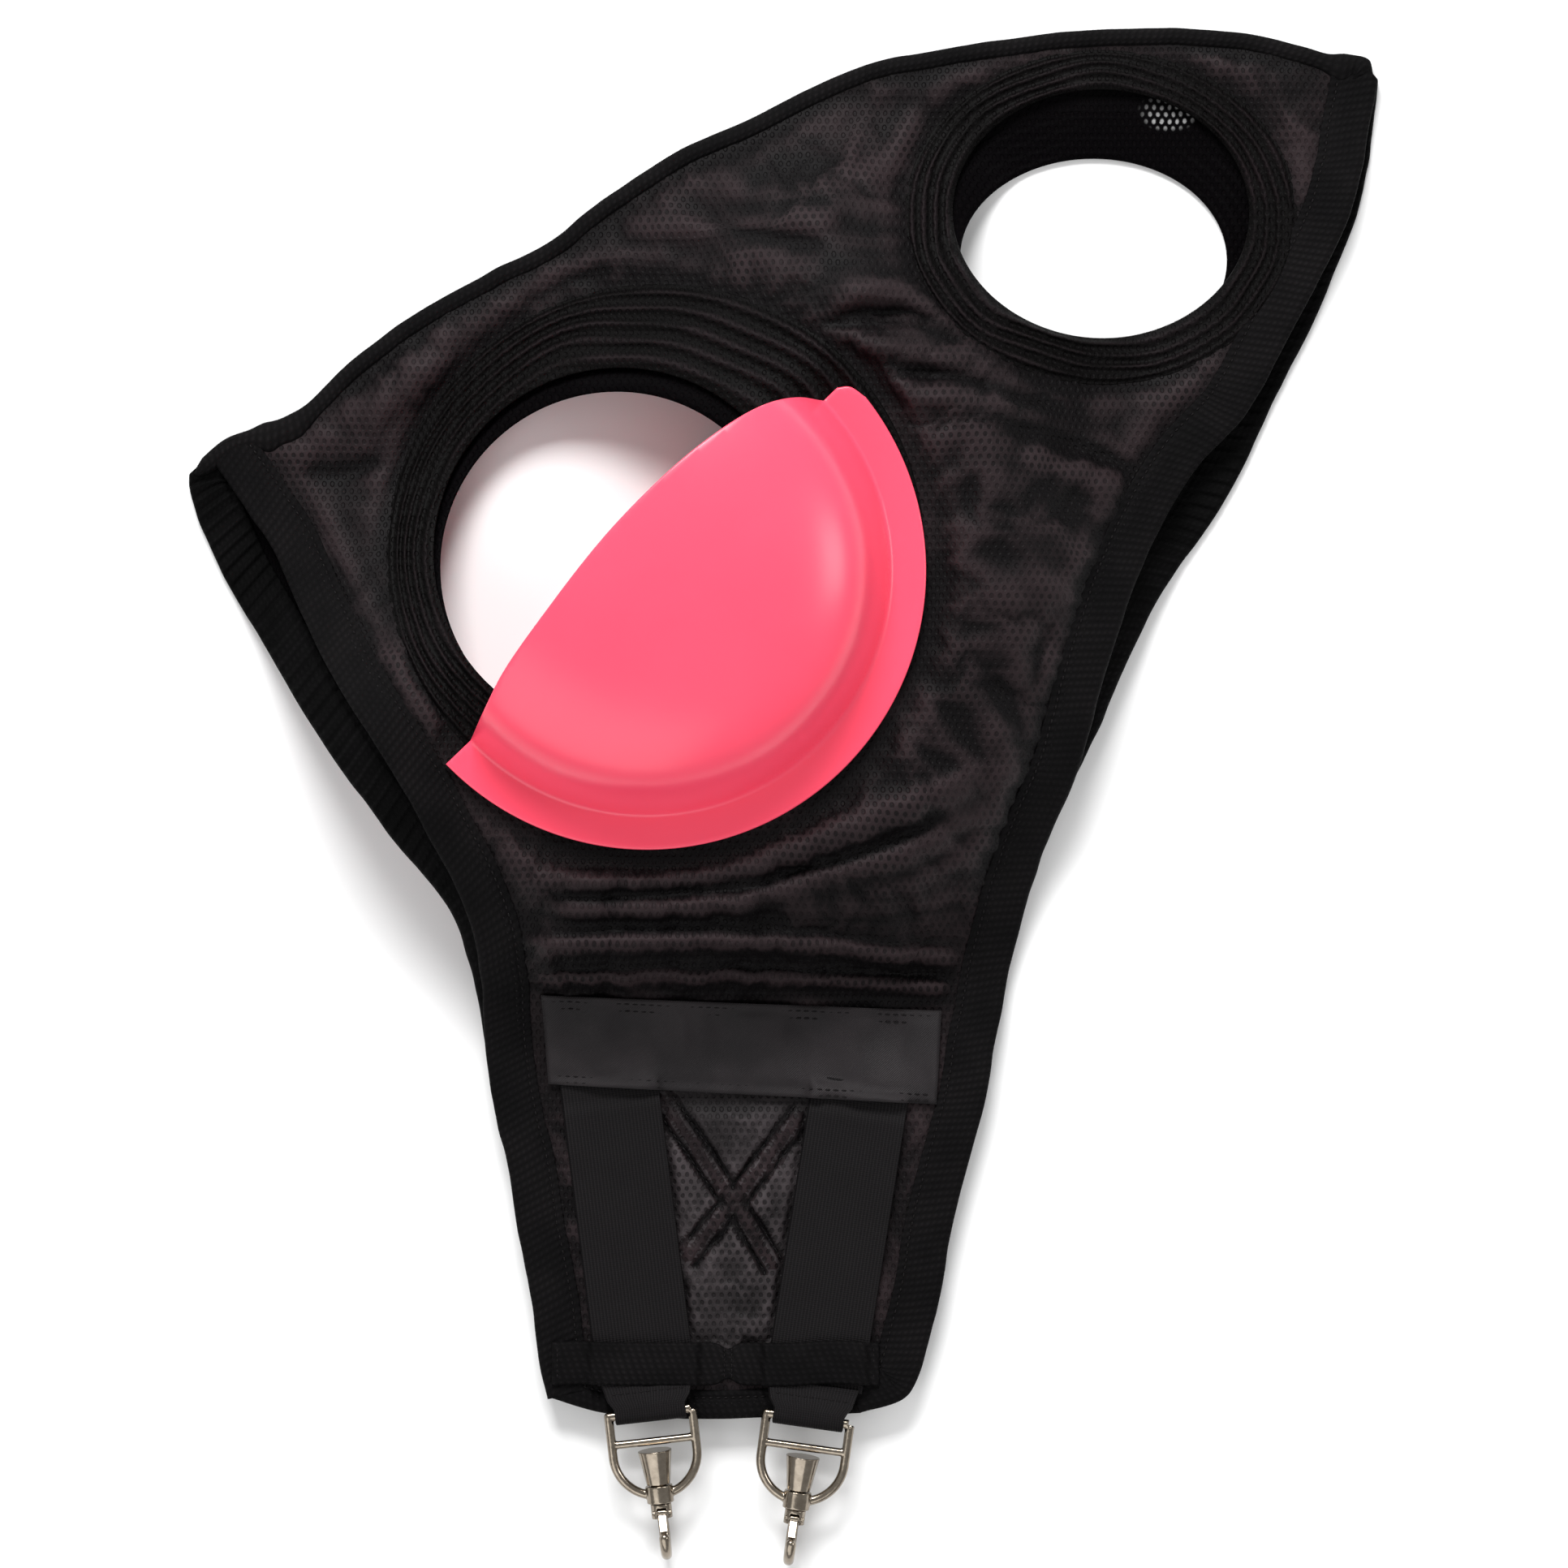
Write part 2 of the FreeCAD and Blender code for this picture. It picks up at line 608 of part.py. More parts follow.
# Each strap: bar centre x and y, the strap's turn, the snap's turn and the strap's length.
STRAPS = {
    "left": (-39.4, -181.5, 7.2, 6.5, 84.4),
    "right": (7.2, -183.35, -9.0, -8.0, 84.0),
}
UP = V(0, 0, 1)
bar_z = size("strap_base") + FOLD_RADIUS
for side, (bar_x, bar_y, strap_turn, snap_turn, strap_long) in STRAPS.items():
    bar = V(bar_x, bar_y, bar_z)
    flat = FreeCAD.Placement(bar, FreeCAD.Rotation(UP, strap_turn))
    folded = FreeCAD.Placement(bar, FreeCAD.Rotation(UP, snap_turn))
    droop = FreeCAD.Rotation(UP, snap_turn) * FreeCAD.Rotation(V(1, 0, 0), size("snap_droop"))
    snap = FreeCAD.Placement(bar, droop)
    web, corner = strap(side, strap_long)
    place_on(web, flat, at(corner.x, corner.y, corner.z))
    keep(web, side + "_elastic_strap")
    loop = strap_end(side)
    place_on(loop, folded, at(0, 0, 0))
    keep(loop, side + "_strap_loop")
    for make, label in ((snap_eye, "snap_eye"), (snap_hook, "snap_hook"),
                        (snap_gate, "snap_gate")):
        obj = make(side)
        place_on(obj, snap, at(0, 0, 0))
        keep(obj, side + "_" + label)
    rivet = gate_pin(side)
    place_on(rivet, snap, rivet.Placement)
    keep(rivet, side + "_gate_rivet")


# ---------------------------------------------------------------- keeper over the straps
KEEPER_Z = 9.45
KEEPER_HIGH = 11.15
KEEPER_THICK = 1.2
KEEPER_Y = (-173.4, -160.6)
KEEPER_ENDS = (-68.5, 28.0)
KEEPER_RAISED = [(-57.6, -24.8), (-6.6, 25.8)]
keeper = doc.addObject("PartDesign::Body", "strap_keeper")
keeper_sketch = keeper.newObject("Sketcher::SketchObject", "keeper_profile")
xz_plane = [f for f in keeper.Origin.OriginFeatures if f.Role == "XZ_Plane"][0]
keeper_sketch.AttachmentSupport = [(xz_plane, "")]
keeper_sketch.MapMode = "FlatFace"
lower_line = [(KEEPER_ENDS[0], KEEPER_Z)]
for left, right in KEEPER_RAISED:
    lower_line += [(left, KEEPER_Z), (left, KEEPER_HIGH), (right, KEEPER_HIGH), (right, KEEPER_Z)]
lower_line.append((KEEPER_ENDS[1], KEEPER_Z))
upper_line = [(KEEPER_ENDS[0], KEEPER_Z + KEEPER_THICK)]
for left, right in KEEPER_RAISED:
    upper_line += [(left - KEEPER_THICK, KEEPER_Z + KEEPER_THICK),
                   (left - KEEPER_THICK, KEEPER_HIGH + KEEPER_THICK),
                   (right + KEEPER_THICK, KEEPER_HIGH + KEEPER_THICK),
                   (right + KEEPER_THICK, KEEPER_Z + KEEPER_THICK)]
upper_line.append((KEEPER_ENDS[1], KEEPER_Z + KEEPER_THICK))
keeper_outline = lower_line + upper_line[::-1]
for i, (x, z) in enumerate(keeper_outline):
    x2, z2 = keeper_outline[(i + 1) % len(keeper_outline)]
    keeper_sketch.addGeometry(Part.LineSegment(V(x, z, 0), V(x2, z2, 0)), False)
doc.recompute()
keeper_pad = keeper.newObject("PartDesign::Pad", "keeper_pad")
keeper_pad.Profile = keeper_sketch
keeper_pad.Length = KEEPER_Y[1] - KEEPER_Y[0]
keeper.Placement = at(0, KEEPER_Y[1], 0)
keep(keeper, "strap_keeper")


# ---------------------------------------------------------------- rings on the far side
def ring_tab(name):
    """A folded webbing tab, sewn to the far flap, that holds a ring's bar."""
    half = size("ring_tab_wide") / 2
    roll = cylinder(name + "_roll", "sizes.ring_wire + sizes.ring_tab_roll",
                    "sizes.ring_tab_wide", at(-half, 0, 0, ALONG_X))
    tongue_z = size("ring_wire") + size("ring_tab_roll") - size("ring_tab_thick")
    tongue = block(name + "_tongue", "sizes.ring_tab_wide", "sizes.ring_tab_long",
                   "sizes.ring_tab_thick", at(-half, 0, tongue_z))
    hole = cylinder(name + "_hole", "sizes.ring_wire + sizes.bar_gap",
                    "sizes.ring_tab_wide + 2 * sizes.tool_over",
                    at(-half - size("tool_over"), 0, 0, ALONG_X))
    return cut(name + "_loop", fuse(name + "_body", [roll, tongue]), hole)


RINGS = {"left": (-53.8, -105.0), "right": (23.8, -105.0)}
for side, (ring_x, ring_y) in RINGS.items():
    spot = at(ring_x, ring_y, size("ring_height"))
    ring = fuse(side + "_ring_wire", d_frame(side + "_ring", "ring_half", "ring_leg", "ring_wire"))
    place_on(ring, spot, at(0, 0, 0))
    keep(ring, side + "_d_ring")
    tab = ring_tab(side + "_tab")
    place_on(tab, spot, at(0, 0, 0))
    keep(tab, side + "_ring_tab")

doc.recompute()


# ---------------------------------------------------------------- checks and files
def is_sound(obj):
    """Whether an object computed without a fault."""
    return not ({"Invalid", "Error"} & set(obj.State))


broken = [obj.Name for obj in doc.Objects if not is_sound(obj)]
broken += [label for label, obj in parts if obj.Shape.isNull() or not obj.Shape.isValid()]
if broken:
    raise RuntimeError("failed objects: " + ", ".join(broken))
os.makedirs("parts", exist_ok=True)
for label, obj in parts:
    obj.Shape.exportStep("parts/%s.step" % label)
    print("%-22s %d solid  %9.1f mm3" % (label, len(obj.Shape.Solids), obj.Shape.Volume))
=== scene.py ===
"""The look of the half-cup blinker hood, laid flat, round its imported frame.

Plan values are in millimetres in the frame's own axes and are scaled to metres as meshes are made.
"""

import math

import bpy
import numpy as np
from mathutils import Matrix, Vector
from mathutils.geometry import delaunay_2d_cdt


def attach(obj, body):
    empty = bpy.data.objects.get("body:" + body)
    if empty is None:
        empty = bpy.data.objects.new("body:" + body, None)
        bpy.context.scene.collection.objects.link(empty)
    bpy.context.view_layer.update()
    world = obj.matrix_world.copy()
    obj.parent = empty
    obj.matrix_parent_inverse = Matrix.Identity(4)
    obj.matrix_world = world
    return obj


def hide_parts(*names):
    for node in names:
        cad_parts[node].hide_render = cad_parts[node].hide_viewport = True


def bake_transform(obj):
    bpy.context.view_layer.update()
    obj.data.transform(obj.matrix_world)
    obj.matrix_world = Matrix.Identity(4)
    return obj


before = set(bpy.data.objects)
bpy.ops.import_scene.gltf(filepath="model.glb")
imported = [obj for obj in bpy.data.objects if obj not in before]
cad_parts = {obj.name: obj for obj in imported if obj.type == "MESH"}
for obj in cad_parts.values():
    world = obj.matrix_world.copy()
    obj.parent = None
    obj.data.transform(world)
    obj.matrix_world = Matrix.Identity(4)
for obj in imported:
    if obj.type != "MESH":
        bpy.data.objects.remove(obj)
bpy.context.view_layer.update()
scene = bpy.context.scene
scene.view_settings.view_transform = "Standard"
MM = 0.001


# ---------------------------------------------------------------- the draped surface
CUP_X, CUP_Y, CUP_TURN = -40.0, 66.0, math.radians(43.9)
CUP_RADIUS = 81.5
PLATEAU = 38.85
EDGE_LIFT = 0.75
FLAP_LIFT = 4.2
DRAPE_RUN = 78.0
FLAP_RISE = (-40.0, -86.0)
FLANGE_CLEAR = 4.0
FRONT_CLEAR = 6.0
BLOCK = 3000
NOISE_TABLE = 64
NOISE_SHIFT = 300.0
CURVE_SAMPLES = 24


def smooth(u):
    """A step from 0 to 1 with level ends."""
    u = np.clip(u, 0.0, 1.0)
    return u * u * (3.0 - 2.0 * u)


def cup_distance(x, y):
    """Distance in plan to the half disc that the cup's flange stands on."""
    dx, dy = x - CUP_X, y - CUP_Y
    along = dx * math.cos(CUP_TURN) + dy * math.sin(CUP_TURN)
    rear = dx * math.sin(CUP_TURN) - dy * math.cos(CUP_TURN)
    reach = CUP_RADIUS + FLANGE_CLEAR
    front = rear + FRONT_CLEAR
    behind = np.maximum(0.0, np.hypot(along, rear) - reach)
    ahead = np.hypot(np.maximum(np.abs(along) - reach, 0.0), front)
    return np.where(front >= 0.0, behind, ahead)


def drape(x, y):
    """Height of the far panel's underside."""
    tent = 1.0 - smooth(cup_distance(x, y) / DRAPE_RUN)
    flap = smooth((FLAP_RISE[0] - y) / (FLAP_RISE[0] - FLAP_RISE[1]))
    return EDGE_LIFT + (PLATEAU - EDGE_LIFT) * tent * (1.0 - flap) + FLAP_LIFT * flap


# ---------------------------------------------------------------- plan outlines
CROWN = [(175.9, 213), (171, 218), (162, 219), (152, 222), (133, 225.8), (104, 226.9), (66, 224),
         (46, 220.5), (27, 217), (8, 209.5), (-11, 199.5), (-31, 191), (-50, 179), (-69, 164.5),
         (-88, 154.5), (-107, 144), (-127, 129), (-146, 112), (-165, 106)]
FAR_CORNER = (-175.7, 97)
NEAR_CORNER = (-170.5, 101.5)
FAR_NOSE = [FAR_CORNER, (-175.6, 91), (-169, 72.4), (-158.6, 53.2), (-134.9, 14.8), (-113.3, -14),
            (-98.4, -33), (-92, -52.4)]
NEAR_NOSE = [NEAR_CORNER, (-160, 86.8), (-150.5, 72.4), (-136, 41.2), (-112, 2.8), (-93.5, -33),
             (-89.5, -52.4)]
FLAP_NOSE_SIDE = [(-88.3, -71.6), (-85.4, -90.8), (-81.4, -110), (-78.5, -129.2), (-74.6, -148.4),
                  (-72.2, -167.6), (-69.8, -177.2)]
FLAP_END = [(-69.8, -177.2), (-52, -182), (-16, -183.5), (22.3, -182)]
FLAP_NECK_SIDE = [(22.3, -182), (36, -177), (40.6, -167.6), (45.6, -148.4), (49.4, -129), (54, -110),
                  (59.3, -90.8), (62.6, -71.6), (66.2, -52.4), (71.3, -33.2), (77.5, -14)]
FAR_NECK = [(85.4, 5.2), (94.6, 24.4), (103.2, 43.6), (113.5, 63), (127, 82), (137.5, 101),
            (146.6, 120.4), (156.2, 139.6), (164.6, 159), (171, 178), (174.3, 197), (175.9, 213)]
NEAR_NECK = [(85.4, 5.2), (91.7, 26.5), (99, 49.6), (107.3, 71.6), (122, 97.3), (136, 112),
             (151, 139.6), (161.5, 159), (169, 178), (173, 197), (175.9, 213)]
NEAR_EYE = ((-49, 72, 54, 54), (-38, 72, 79, 79))
FAR_EYE = ((-50, 68, 51, 51), (-38, 70, 79, 79))
NEAR_EAR = ((93.5, 172, 43.8, 36.7), (93.5, 171, 58, 49.5))
FAR_EAR = ((91.4, 158.5, 39.5, 30), (91.4, 158.5, 53.5, 44))
BINDING = 14.0
CROWN_TAPE = 4.5
HEM = 8.5
BAND = [(-71.5, -58.5), (46.5, -63.2), (45.0, -90.8), (-69.5, -84.8)]


def run_along(line):
    """Distance run along a line, at each of its points."""
    return np.concatenate([[0.0], np.cumsum(np.hypot(*np.diff(line, axis=0).T))])


def follow(line, run, at):
    """The places on a line at the given distances run."""
    return np.column_stack([np.interp(at, run, column) for column in np.transpose(line)])


def line_through(points, step):
    """A smooth line through plan points, given as points a step apart."""
    p = np.array(points, float)
    gap = np.sqrt(np.hypot(*np.diff(p, axis=0).T))
    slope = np.diff(p, axis=0) / gap[:, None]
    tangent = np.empty_like(p)
    tangent[0], tangent[-1] = slope[0], slope[-1]
    before, after = gap[:-1, None], gap[1:, None]
    tangent[1:-1] = (slope[:-1] * after + slope[1:] * before) / (before + after)
    fine = []
    for i, h in enumerate(gap):
        t = np.linspace(0.0, 1.0, CURVE_SAMPLES, endpoint=False)[:, None]
        fine.append((2 * t**3 - 3 * t**2 + 1) * p[i] + (t**3 - 2 * t**2 + t) * h * tangent[i]
                    + (3 * t**2 - 2 * t**3) * p[i + 1] + (t**3 - t**2) * h * tangent[i + 1])
    fine = np.vstack(fine + [p[-1:]])
    run = run_along(fine)
    at = np.linspace(0.0, run[-1], max(2, int(round(run[-1] / step)) + 1))
    return follow(fine, run, at), at


def left_of(line):
    """Unit vectors to the left of a line's direction, at each of its points."""
    way = np.gradient(line, axis=0)
    way /= np.hypot(way[:, 0], way[:, 1])[:, None]
    return np.column_stack([-way[:, 1], way[:, 0]])


def blocks(points):
    """The points in blocks small enough to compare with a whole line at once."""
    return np.array_split(points, max(1, len(points) // BLOCK))


def distance_to(points, line):
    """Distance from each point to the nearest point of a line."""
    found = [np.hypot(block[:, None, 0] - line[None, :, 0], block[:, None, 1] - line[None, :, 1])
             .min(axis=1) for block in blocks(points)]
    return np.concatenate(found)


def inside(points, loop):
    """Whether each point lies inside a closed loop."""
    a, b = loop, np.roll(loop, -1, axis=0)
    found = []
    for block in blocks(points):
        x, y = block[:, 0, None], block[:, 1, None]
        spans = (a[:, 1] > y) != (b[:, 1] > y)
        rise = np.where(b[:, 1] == a[:, 1], 1e-9, b[:, 1] - a[:, 1])
        cross = a[:, 0] + (y - a[:, 1]) * (b[:, 0] - a[:, 0]) / rise
        found.append((spans & (x < cross)).sum(axis=1) % 2 == 1)
    return np.concatenate(found)


def noise(x, y, pitch, seed):
    """A smooth random field from -1 to 1 with about that pitch."""
    table = np.random.default_rng(seed).uniform(-1.0, 1.0, (NOISE_TABLE, NOISE_TABLE))
    u, v = x / pitch + NOISE_SHIFT, y / pitch + NOISE_SHIFT
    i, j = np.floor(u).astype(int), np.floor(v).astype(int)
    fu, fv = smooth(u - i), smooth(v - j)
    low, high = (table[(i + a) % NOISE_TABLE, j % NOISE_TABLE] * (1 - fv)
                 + table[(i + a) % NOISE_TABLE, (j + 1) % NOISE_TABLE] * fv for a in (0, 1))
    return low * (1 - fu) + high * fu


def rounded(u):
    """The height of a quarter round at a share u of its run, from 0 to 1."""
    return np.sqrt(u * (2 - u))


def bell(distance, wide):
    """1 at no distance, fading over a width."""
    return np.exp(-((distance / wide) ** 2))


NEAR_EDGES = [line_through(NEAR_NOSE, 4.0)[0], line_through(NEAR_NECK[:-2], 4.0)[0]]
CROWN_LINE = line_through(CROWN + [NEAR_CORNER], 4.0)[0]
OPENING_LIFT = 4.5
OPENING_WIDE = 26.0


def near_drape(x, y):
    """Height of the near side's base: its free edges stand a little off the far side."""
    shape = np.shape(x)
    points = np.column_stack([np.ravel(x), np.ravel(y)])
    edge = np.minimum(distance_to(points, NEAR_EDGES[0]), distance_to(points, NEAR_EDGES[1]))
    held = smooth(distance_to(points, CROWN_LINE) / 45.0) * smooth((points[:, 1] + 30.0) / 40.0)
    clear = smooth(cup_distance(points[:, 0], points[:, 1]) / 22.0)
    lift = OPENING_LIFT * held * clear * bell(edge, OPENING_WIDE)
    return drape(x, y) + lift.reshape(shape)


# ---------------------------------------------------------------- making meshes
def make_mesh(name, points, faces, uvs=None, material=None):
    """A smooth mesh object from points in millimetres, with one UV pair in millimetres a point."""
    mesh = bpy.data.meshes.new(name)
    mesh.from_pydata((np.asarray(points, float) * MM).tolist(), [], faces)
    if uvs is not None:
        layer = mesh.uv_layers.new(name="UVMap")
        corners = np.empty(len(mesh.loops), int)
        mesh.loops.foreach_get("vertex_index", corners)
        layer.data.foreach_set("uv", np.asarray(uvs, float)[corners].astype(np.float32).ravel())
    mesh.polygons.foreach_set("use_smooth", [True] * len(mesh.polygons))
    if material:
        mesh.materials.append(material)
    obj = bpy.data.objects.new(name, mesh)
    scene.collection.objects.link(obj)
    return obj


def grid_faces(rows, columns, ring_rows=False, ring_columns=False, start=0):
    """Quads over a grid of points that may close on itself either way."""
    faces = []
    for i in range(rows if ring_rows else rows - 1):
        for j in range(columns if ring_columns else columns - 1):
            k, m = (i + 1) % rows, (j + 1) % columns
            faces.append((start + i * columns + j, start + k * columns + j,
                          start + k * columns + m, start + i * columns + m))
    return faces


def tube_faces(rings, around, start=0):
    """Faces of a closed tube through rings of points, with flat ends."""
    last = start + (rings - 1) * around
    return [*grid_faces(rings, around, ring_columns=True, start=start),
            tuple(start + j for j in range(around)),
            tuple(last + j for j in reversed(range(around)))]


def ring_about(x, y, top, bottom):
    """One ring of points: over the top, and back under."""
    return np.vstack([np.column_stack([x, y, top]), np.column_stack([x, y, bottom])[-2:0:-1]])


def ring_uv(along, across):
    """The UVs of such a ring, at one distance along and the given ones across."""
    both = np.concatenate([across, -across[-2:0:-1]])
    return np.column_stack([np.full(len(both), along), both])


def select(obj, others=()):
    """Selects an object, and others with it, and makes it the active one."""
    for other in bpy.context.selected_objects:
        other.select_set(False)
    for each in (*others, obj):
        each.select_set(True)
    bpy.context.view_layer.objects.active = obj


def face_outwards(obj):
    """Turns every face of a closed mesh outwards."""
    select(obj)
    bpy.ops.object.mode_set(mode="EDIT")
    bpy.ops.mesh.select_all(action="SELECT")
    bpy.ops.mesh.normals_make_consistent(inside=False)
    bpy.ops.object.mode_set(mode="OBJECT")
    obj.select_set(False)
    return obj


def tube(name, rings, uvs, material):
    """A closed mesh through rings of points, with flat ends and its faces outwards."""
    faces = tube_faces(len(rings), len(rings[0]))
    return face_outwards(make_mesh(name, np.reshape(rings, (-1, 3)), faces,
                                   np.reshape(uvs, (-1, 2)), material))


def join(first, others):
    """Joins other pieces into the first one."""
    select(first, others)
    bpy.ops.object.join()
    first.select_set(False)
    return first


def store(obj, name, values):
    """Stores a value on each point, for the material to read."""
    layer = obj.data.attributes.new(name, "FLOAT", "POINT")
    layer.data.foreach_set("value", np.asarray(values, np.float32))


STITCH_RINGS = 5
STITCH_SIDES = 6
STITCH_LOOK = 0.4


def stitch_row(line, heights, pitch, length, high, width=0.5):
    """A row of short raised stitches along a line of (x, y) points, at the given heights."""
    run = run_along(line)
    at = np.arange(pitch / 2, run[-1], pitch)
    centre = follow(np.column_stack([line, heights + np.zeros(len(line))]), run, at)
    way = follow(line, run, at + STITCH_LOOK) - follow(line, run, at - STITCH_LOOK)
    way /= np.maximum(np.hypot(way[:, 0], way[:, 1]), 1e-6)[:, None]
    points, faces = [], []
    around = np.linspace(0.0, 2 * math.pi, STITCH_SIDES, endpoint=False)
    for c, w in zip(centre, way):
        faces += tube_faces(STITCH_RINGS, STITCH_SIDES, len(points))
        for r in np.linspace(-1.0, 1.0, STITCH_RINGS):
            swell = math.sqrt(max(0.12, 1.0 - r * r))
            for a in around:
                side = math.cos(a) * swell * width / 2
                points.append((c[0] + w[0] * r * length / 2 - w[1] * side,
                               c[1] + w[1] * r * length / 2 + w[0] * side,
                               c[2] + math.sin(a) * swell * high))
    return make_mesh("stitches", points, faces, [p[:2] for p in points], THREAD)


def done(obj, body, material_slot, *stands_for):
    """Fastens a finished piece to its body, and hides the parts that it stands for. The material slot
    is not used.
    """
    if body:
        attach(obj, body)
    if stands_for:
        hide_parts(*stands_for)
    return obj


# ---------------------------------------------------------------- materials
class Look:
    """A node material that is built from small formulas over the piece's own coordinates."""

    def __init__(self, name, coordinates="UV"):
        self.material = bpy.data.materials.new(name)
        self.material.use_nodes = True
        self.tree = self.material.node_tree
        self.tree.nodes.clear()
        self.output = self.node("ShaderNodeOutputMaterial")
        self.shader = self.node("ShaderNodeBsdfPrincipled")
        self.link(self.shader.outputs[0], self.output.inputs[0])
        self.place = self.node("ShaderNodeTexCoord").outputs[coordinates]
        parts = self.node("ShaderNodeSeparateXYZ")
        self.link(self.place, parts.inputs[0])
        self.u, self.v, self.w = parts.outputs

    def node(self, kind, **values):
        made = self.tree.nodes.new(kind)
        for name, value in values.items():
            setattr(made, name, value)
        return made

    def link(self, source, target):
        self.tree.links.new(source, target)

    def feed(self, socket, value):
        """Links an output into a socket, or sets the socket's own value."""
        if isinstance(value, bpy.types.NodeSocket):
            self.link(value, socket)
        else:
            socket.default_value = value

    def painted(self, name):
        """A value that is stored on the mesh's points."""
        return self.node("ShaderNodeAttribute", attribute_name=name).outputs["Fac"]

    def math(self, operation, a, b=0.0, c=0.0):
        made = self.node("ShaderNodeMath", operation=operation)
        for socket, value in zip(made.inputs, (a, b, c)):
            self.feed(socket, value)
        return made.outputs[0]

    def length(self, x, y):
        """The length of a pair of values."""
        squares = (self.math("MULTIPLY", value, value) for value in (x, y))
        return self.math("SQRT", self.math("ADD", *squares))

    def step(self, value, low, high):
        """A smooth step from 0 at low to 1 at high."""
        made = self.node("ShaderNodeMapRange", interpolation_type="SMOOTHSTEP")
        self.feed(made.inputs["Value"], value)
        self.feed(made.inputs["From Min"], low)
        self.feed(made.inputs["From Max"], high)
        return made.outputs[0]

    def span(self, value, low, high):
        """Maps 0..1 onto low..high."""
        return self.math("MULTIPLY_ADD", value, high - low, low)

    def noise(self, scale, detail=2.0, rough=0.5):
        made = self.node("ShaderNodeTexNoise")
        self.link(self.place, made.inputs["Vector"])
        self.feed(made.inputs["Scale"], scale)
        self.feed(made.inputs["Detail"], detail)
        self.feed(made.inputs["Roughness"], rough)
        return made.outputs["Fac"]

    def mix(self, share, low, high):
        made = self.node("ShaderNodeMix", data_type="RGBA")
        self.feed(made.inputs[0], share)
        self.feed(made.inputs[6], low if isinstance(low, bpy.types.NodeSocket) else (*low, 1.0))
        self.feed(made.inputs[7], high if isinstance(high, bpy.types.NodeSocket) else (*high, 1.0))
        return made.outputs[2]

    def wave(self, value, pitch):
        """A wave from 0 to 1 and back over each pitch."""
        turned = self.math("SINE", self.math("MULTIPLY", value, 2 * math.pi / pitch))
        return self.math("MULTIPLY_ADD", turned, 0.5, 0.5)

    def bump(self, height, depth, strength=1.0):
        made = self.node("ShaderNodeBump")
        self.feed(made.inputs["Strength"], strength)
        self.feed(made.inputs["Distance"], depth * MM)
        self.link(height, made.inputs["Height"])
        self.link(made.outputs[0], self.shader.inputs["Normal"])

    def set(self, **values):
        for name, value in values.items():
            self.feed(self.shader.inputs[name.replace("_", " ")], value)
        return self.material


def linear(red, green, blue):
    """A display colour from 0 to 255 as linear light."""
    return tuple((c / 12.92 if c <= 0.04045 else ((c + 0.055) / 1.055) ** 2.4)
                 for c in (red / 255, green / 255, blue / 255))


# The mesh's holes: their pitch and row height, and half their width and height.
HOLE_PITCH, HOLE_ROWS = 2.3, 4.2
HOLE_HALF, HOLE_TALL = 0.62, 0.80


def mesh_cloth(name, dark, light, gloss, painted_see_through_light=None):
    """Air mesh: rows of small oval holes, with painted highlight on the folds and painted shade between
    them.
    """
    look = Look(name)
    holes = []
    for shift in (0.0, 0.5):
        from_hole = []
        for along, pitch, half in ((look.u, HOLE_PITCH, HOLE_HALF), (look.v, HOLE_ROWS, HOLE_TALL)):
            cell = look.math("FRACT", look.math("MULTIPLY_ADD", along, 1 / pitch, shift))
            from_hole.append(look.math("MULTIPLY", look.math("SUBTRACT", cell, 0.5), pitch / half))
        holes.append(look.length(*from_hole))
    thread = look.step(look.math("MINIMUM", *holes), 0.6, 1.2)
    cloud = look.noise(0.030, 3.0, 0.6)
    fine = look.noise(1.6, 2.0)
    clear = look.span(look.step(look.noise(0.045, 2.0), 0.35, 0.65), 0.25, 1.0)
    # Painted highlight and shade: the stored fold height lightens the cloth where it stands up and
    # darkens its hollows, mixed with a random tone.
    shade_and_tone = look.math("MULTIPLY_ADD", look.painted("painted_fold_shade"), 0.21, cloud)
    body = look.mix(look.step(shade_and_tone, 0.34, 0.78), linear(*dark), linear(*light))
    body = look.mix(look.math("MULTIPLY", fine, 0.35), body, linear(*[0.55 * c for c in dark]))
    hole = look.math("MULTIPLY", look.math("SUBTRACT", 1.0, thread), clear)
    # The holes are painted near black: partly the dark cloth beneath them, partly painted shade seen
    # through them.
    colour = look.mix(look.math("MULTIPLY", hole, 0.8), body, linear(6, 4, 5))
    look.bump(look.math("ADD", thread, look.math("MULTIPLY", fine, 0.35)), 0.22)
    # Painted light: in one spot the holes are painted light grey, standing in for light shining through
    # the mesh.
    if painted_see_through_light:
        x, y, reach = painted_see_through_light
        spot = look.length(look.math("SUBTRACT", look.u, x),
                           look.math("MULTIPLY", look.math("SUBTRACT", look.v, y), 1.6))
        thin = look.math("SUBTRACT", 1.0, look.step(spot, 0.6 * reach, reach))
        colour = look.mix(look.math("MULTIPLY", hole, thin), colour, linear(165, 165, 165))
    return look.set(Base_Color=colour, Roughness=look.span(fine, 0.5, 0.7),
                    Sheen_Weight=0.0, Specular_IOR_Level=gloss)


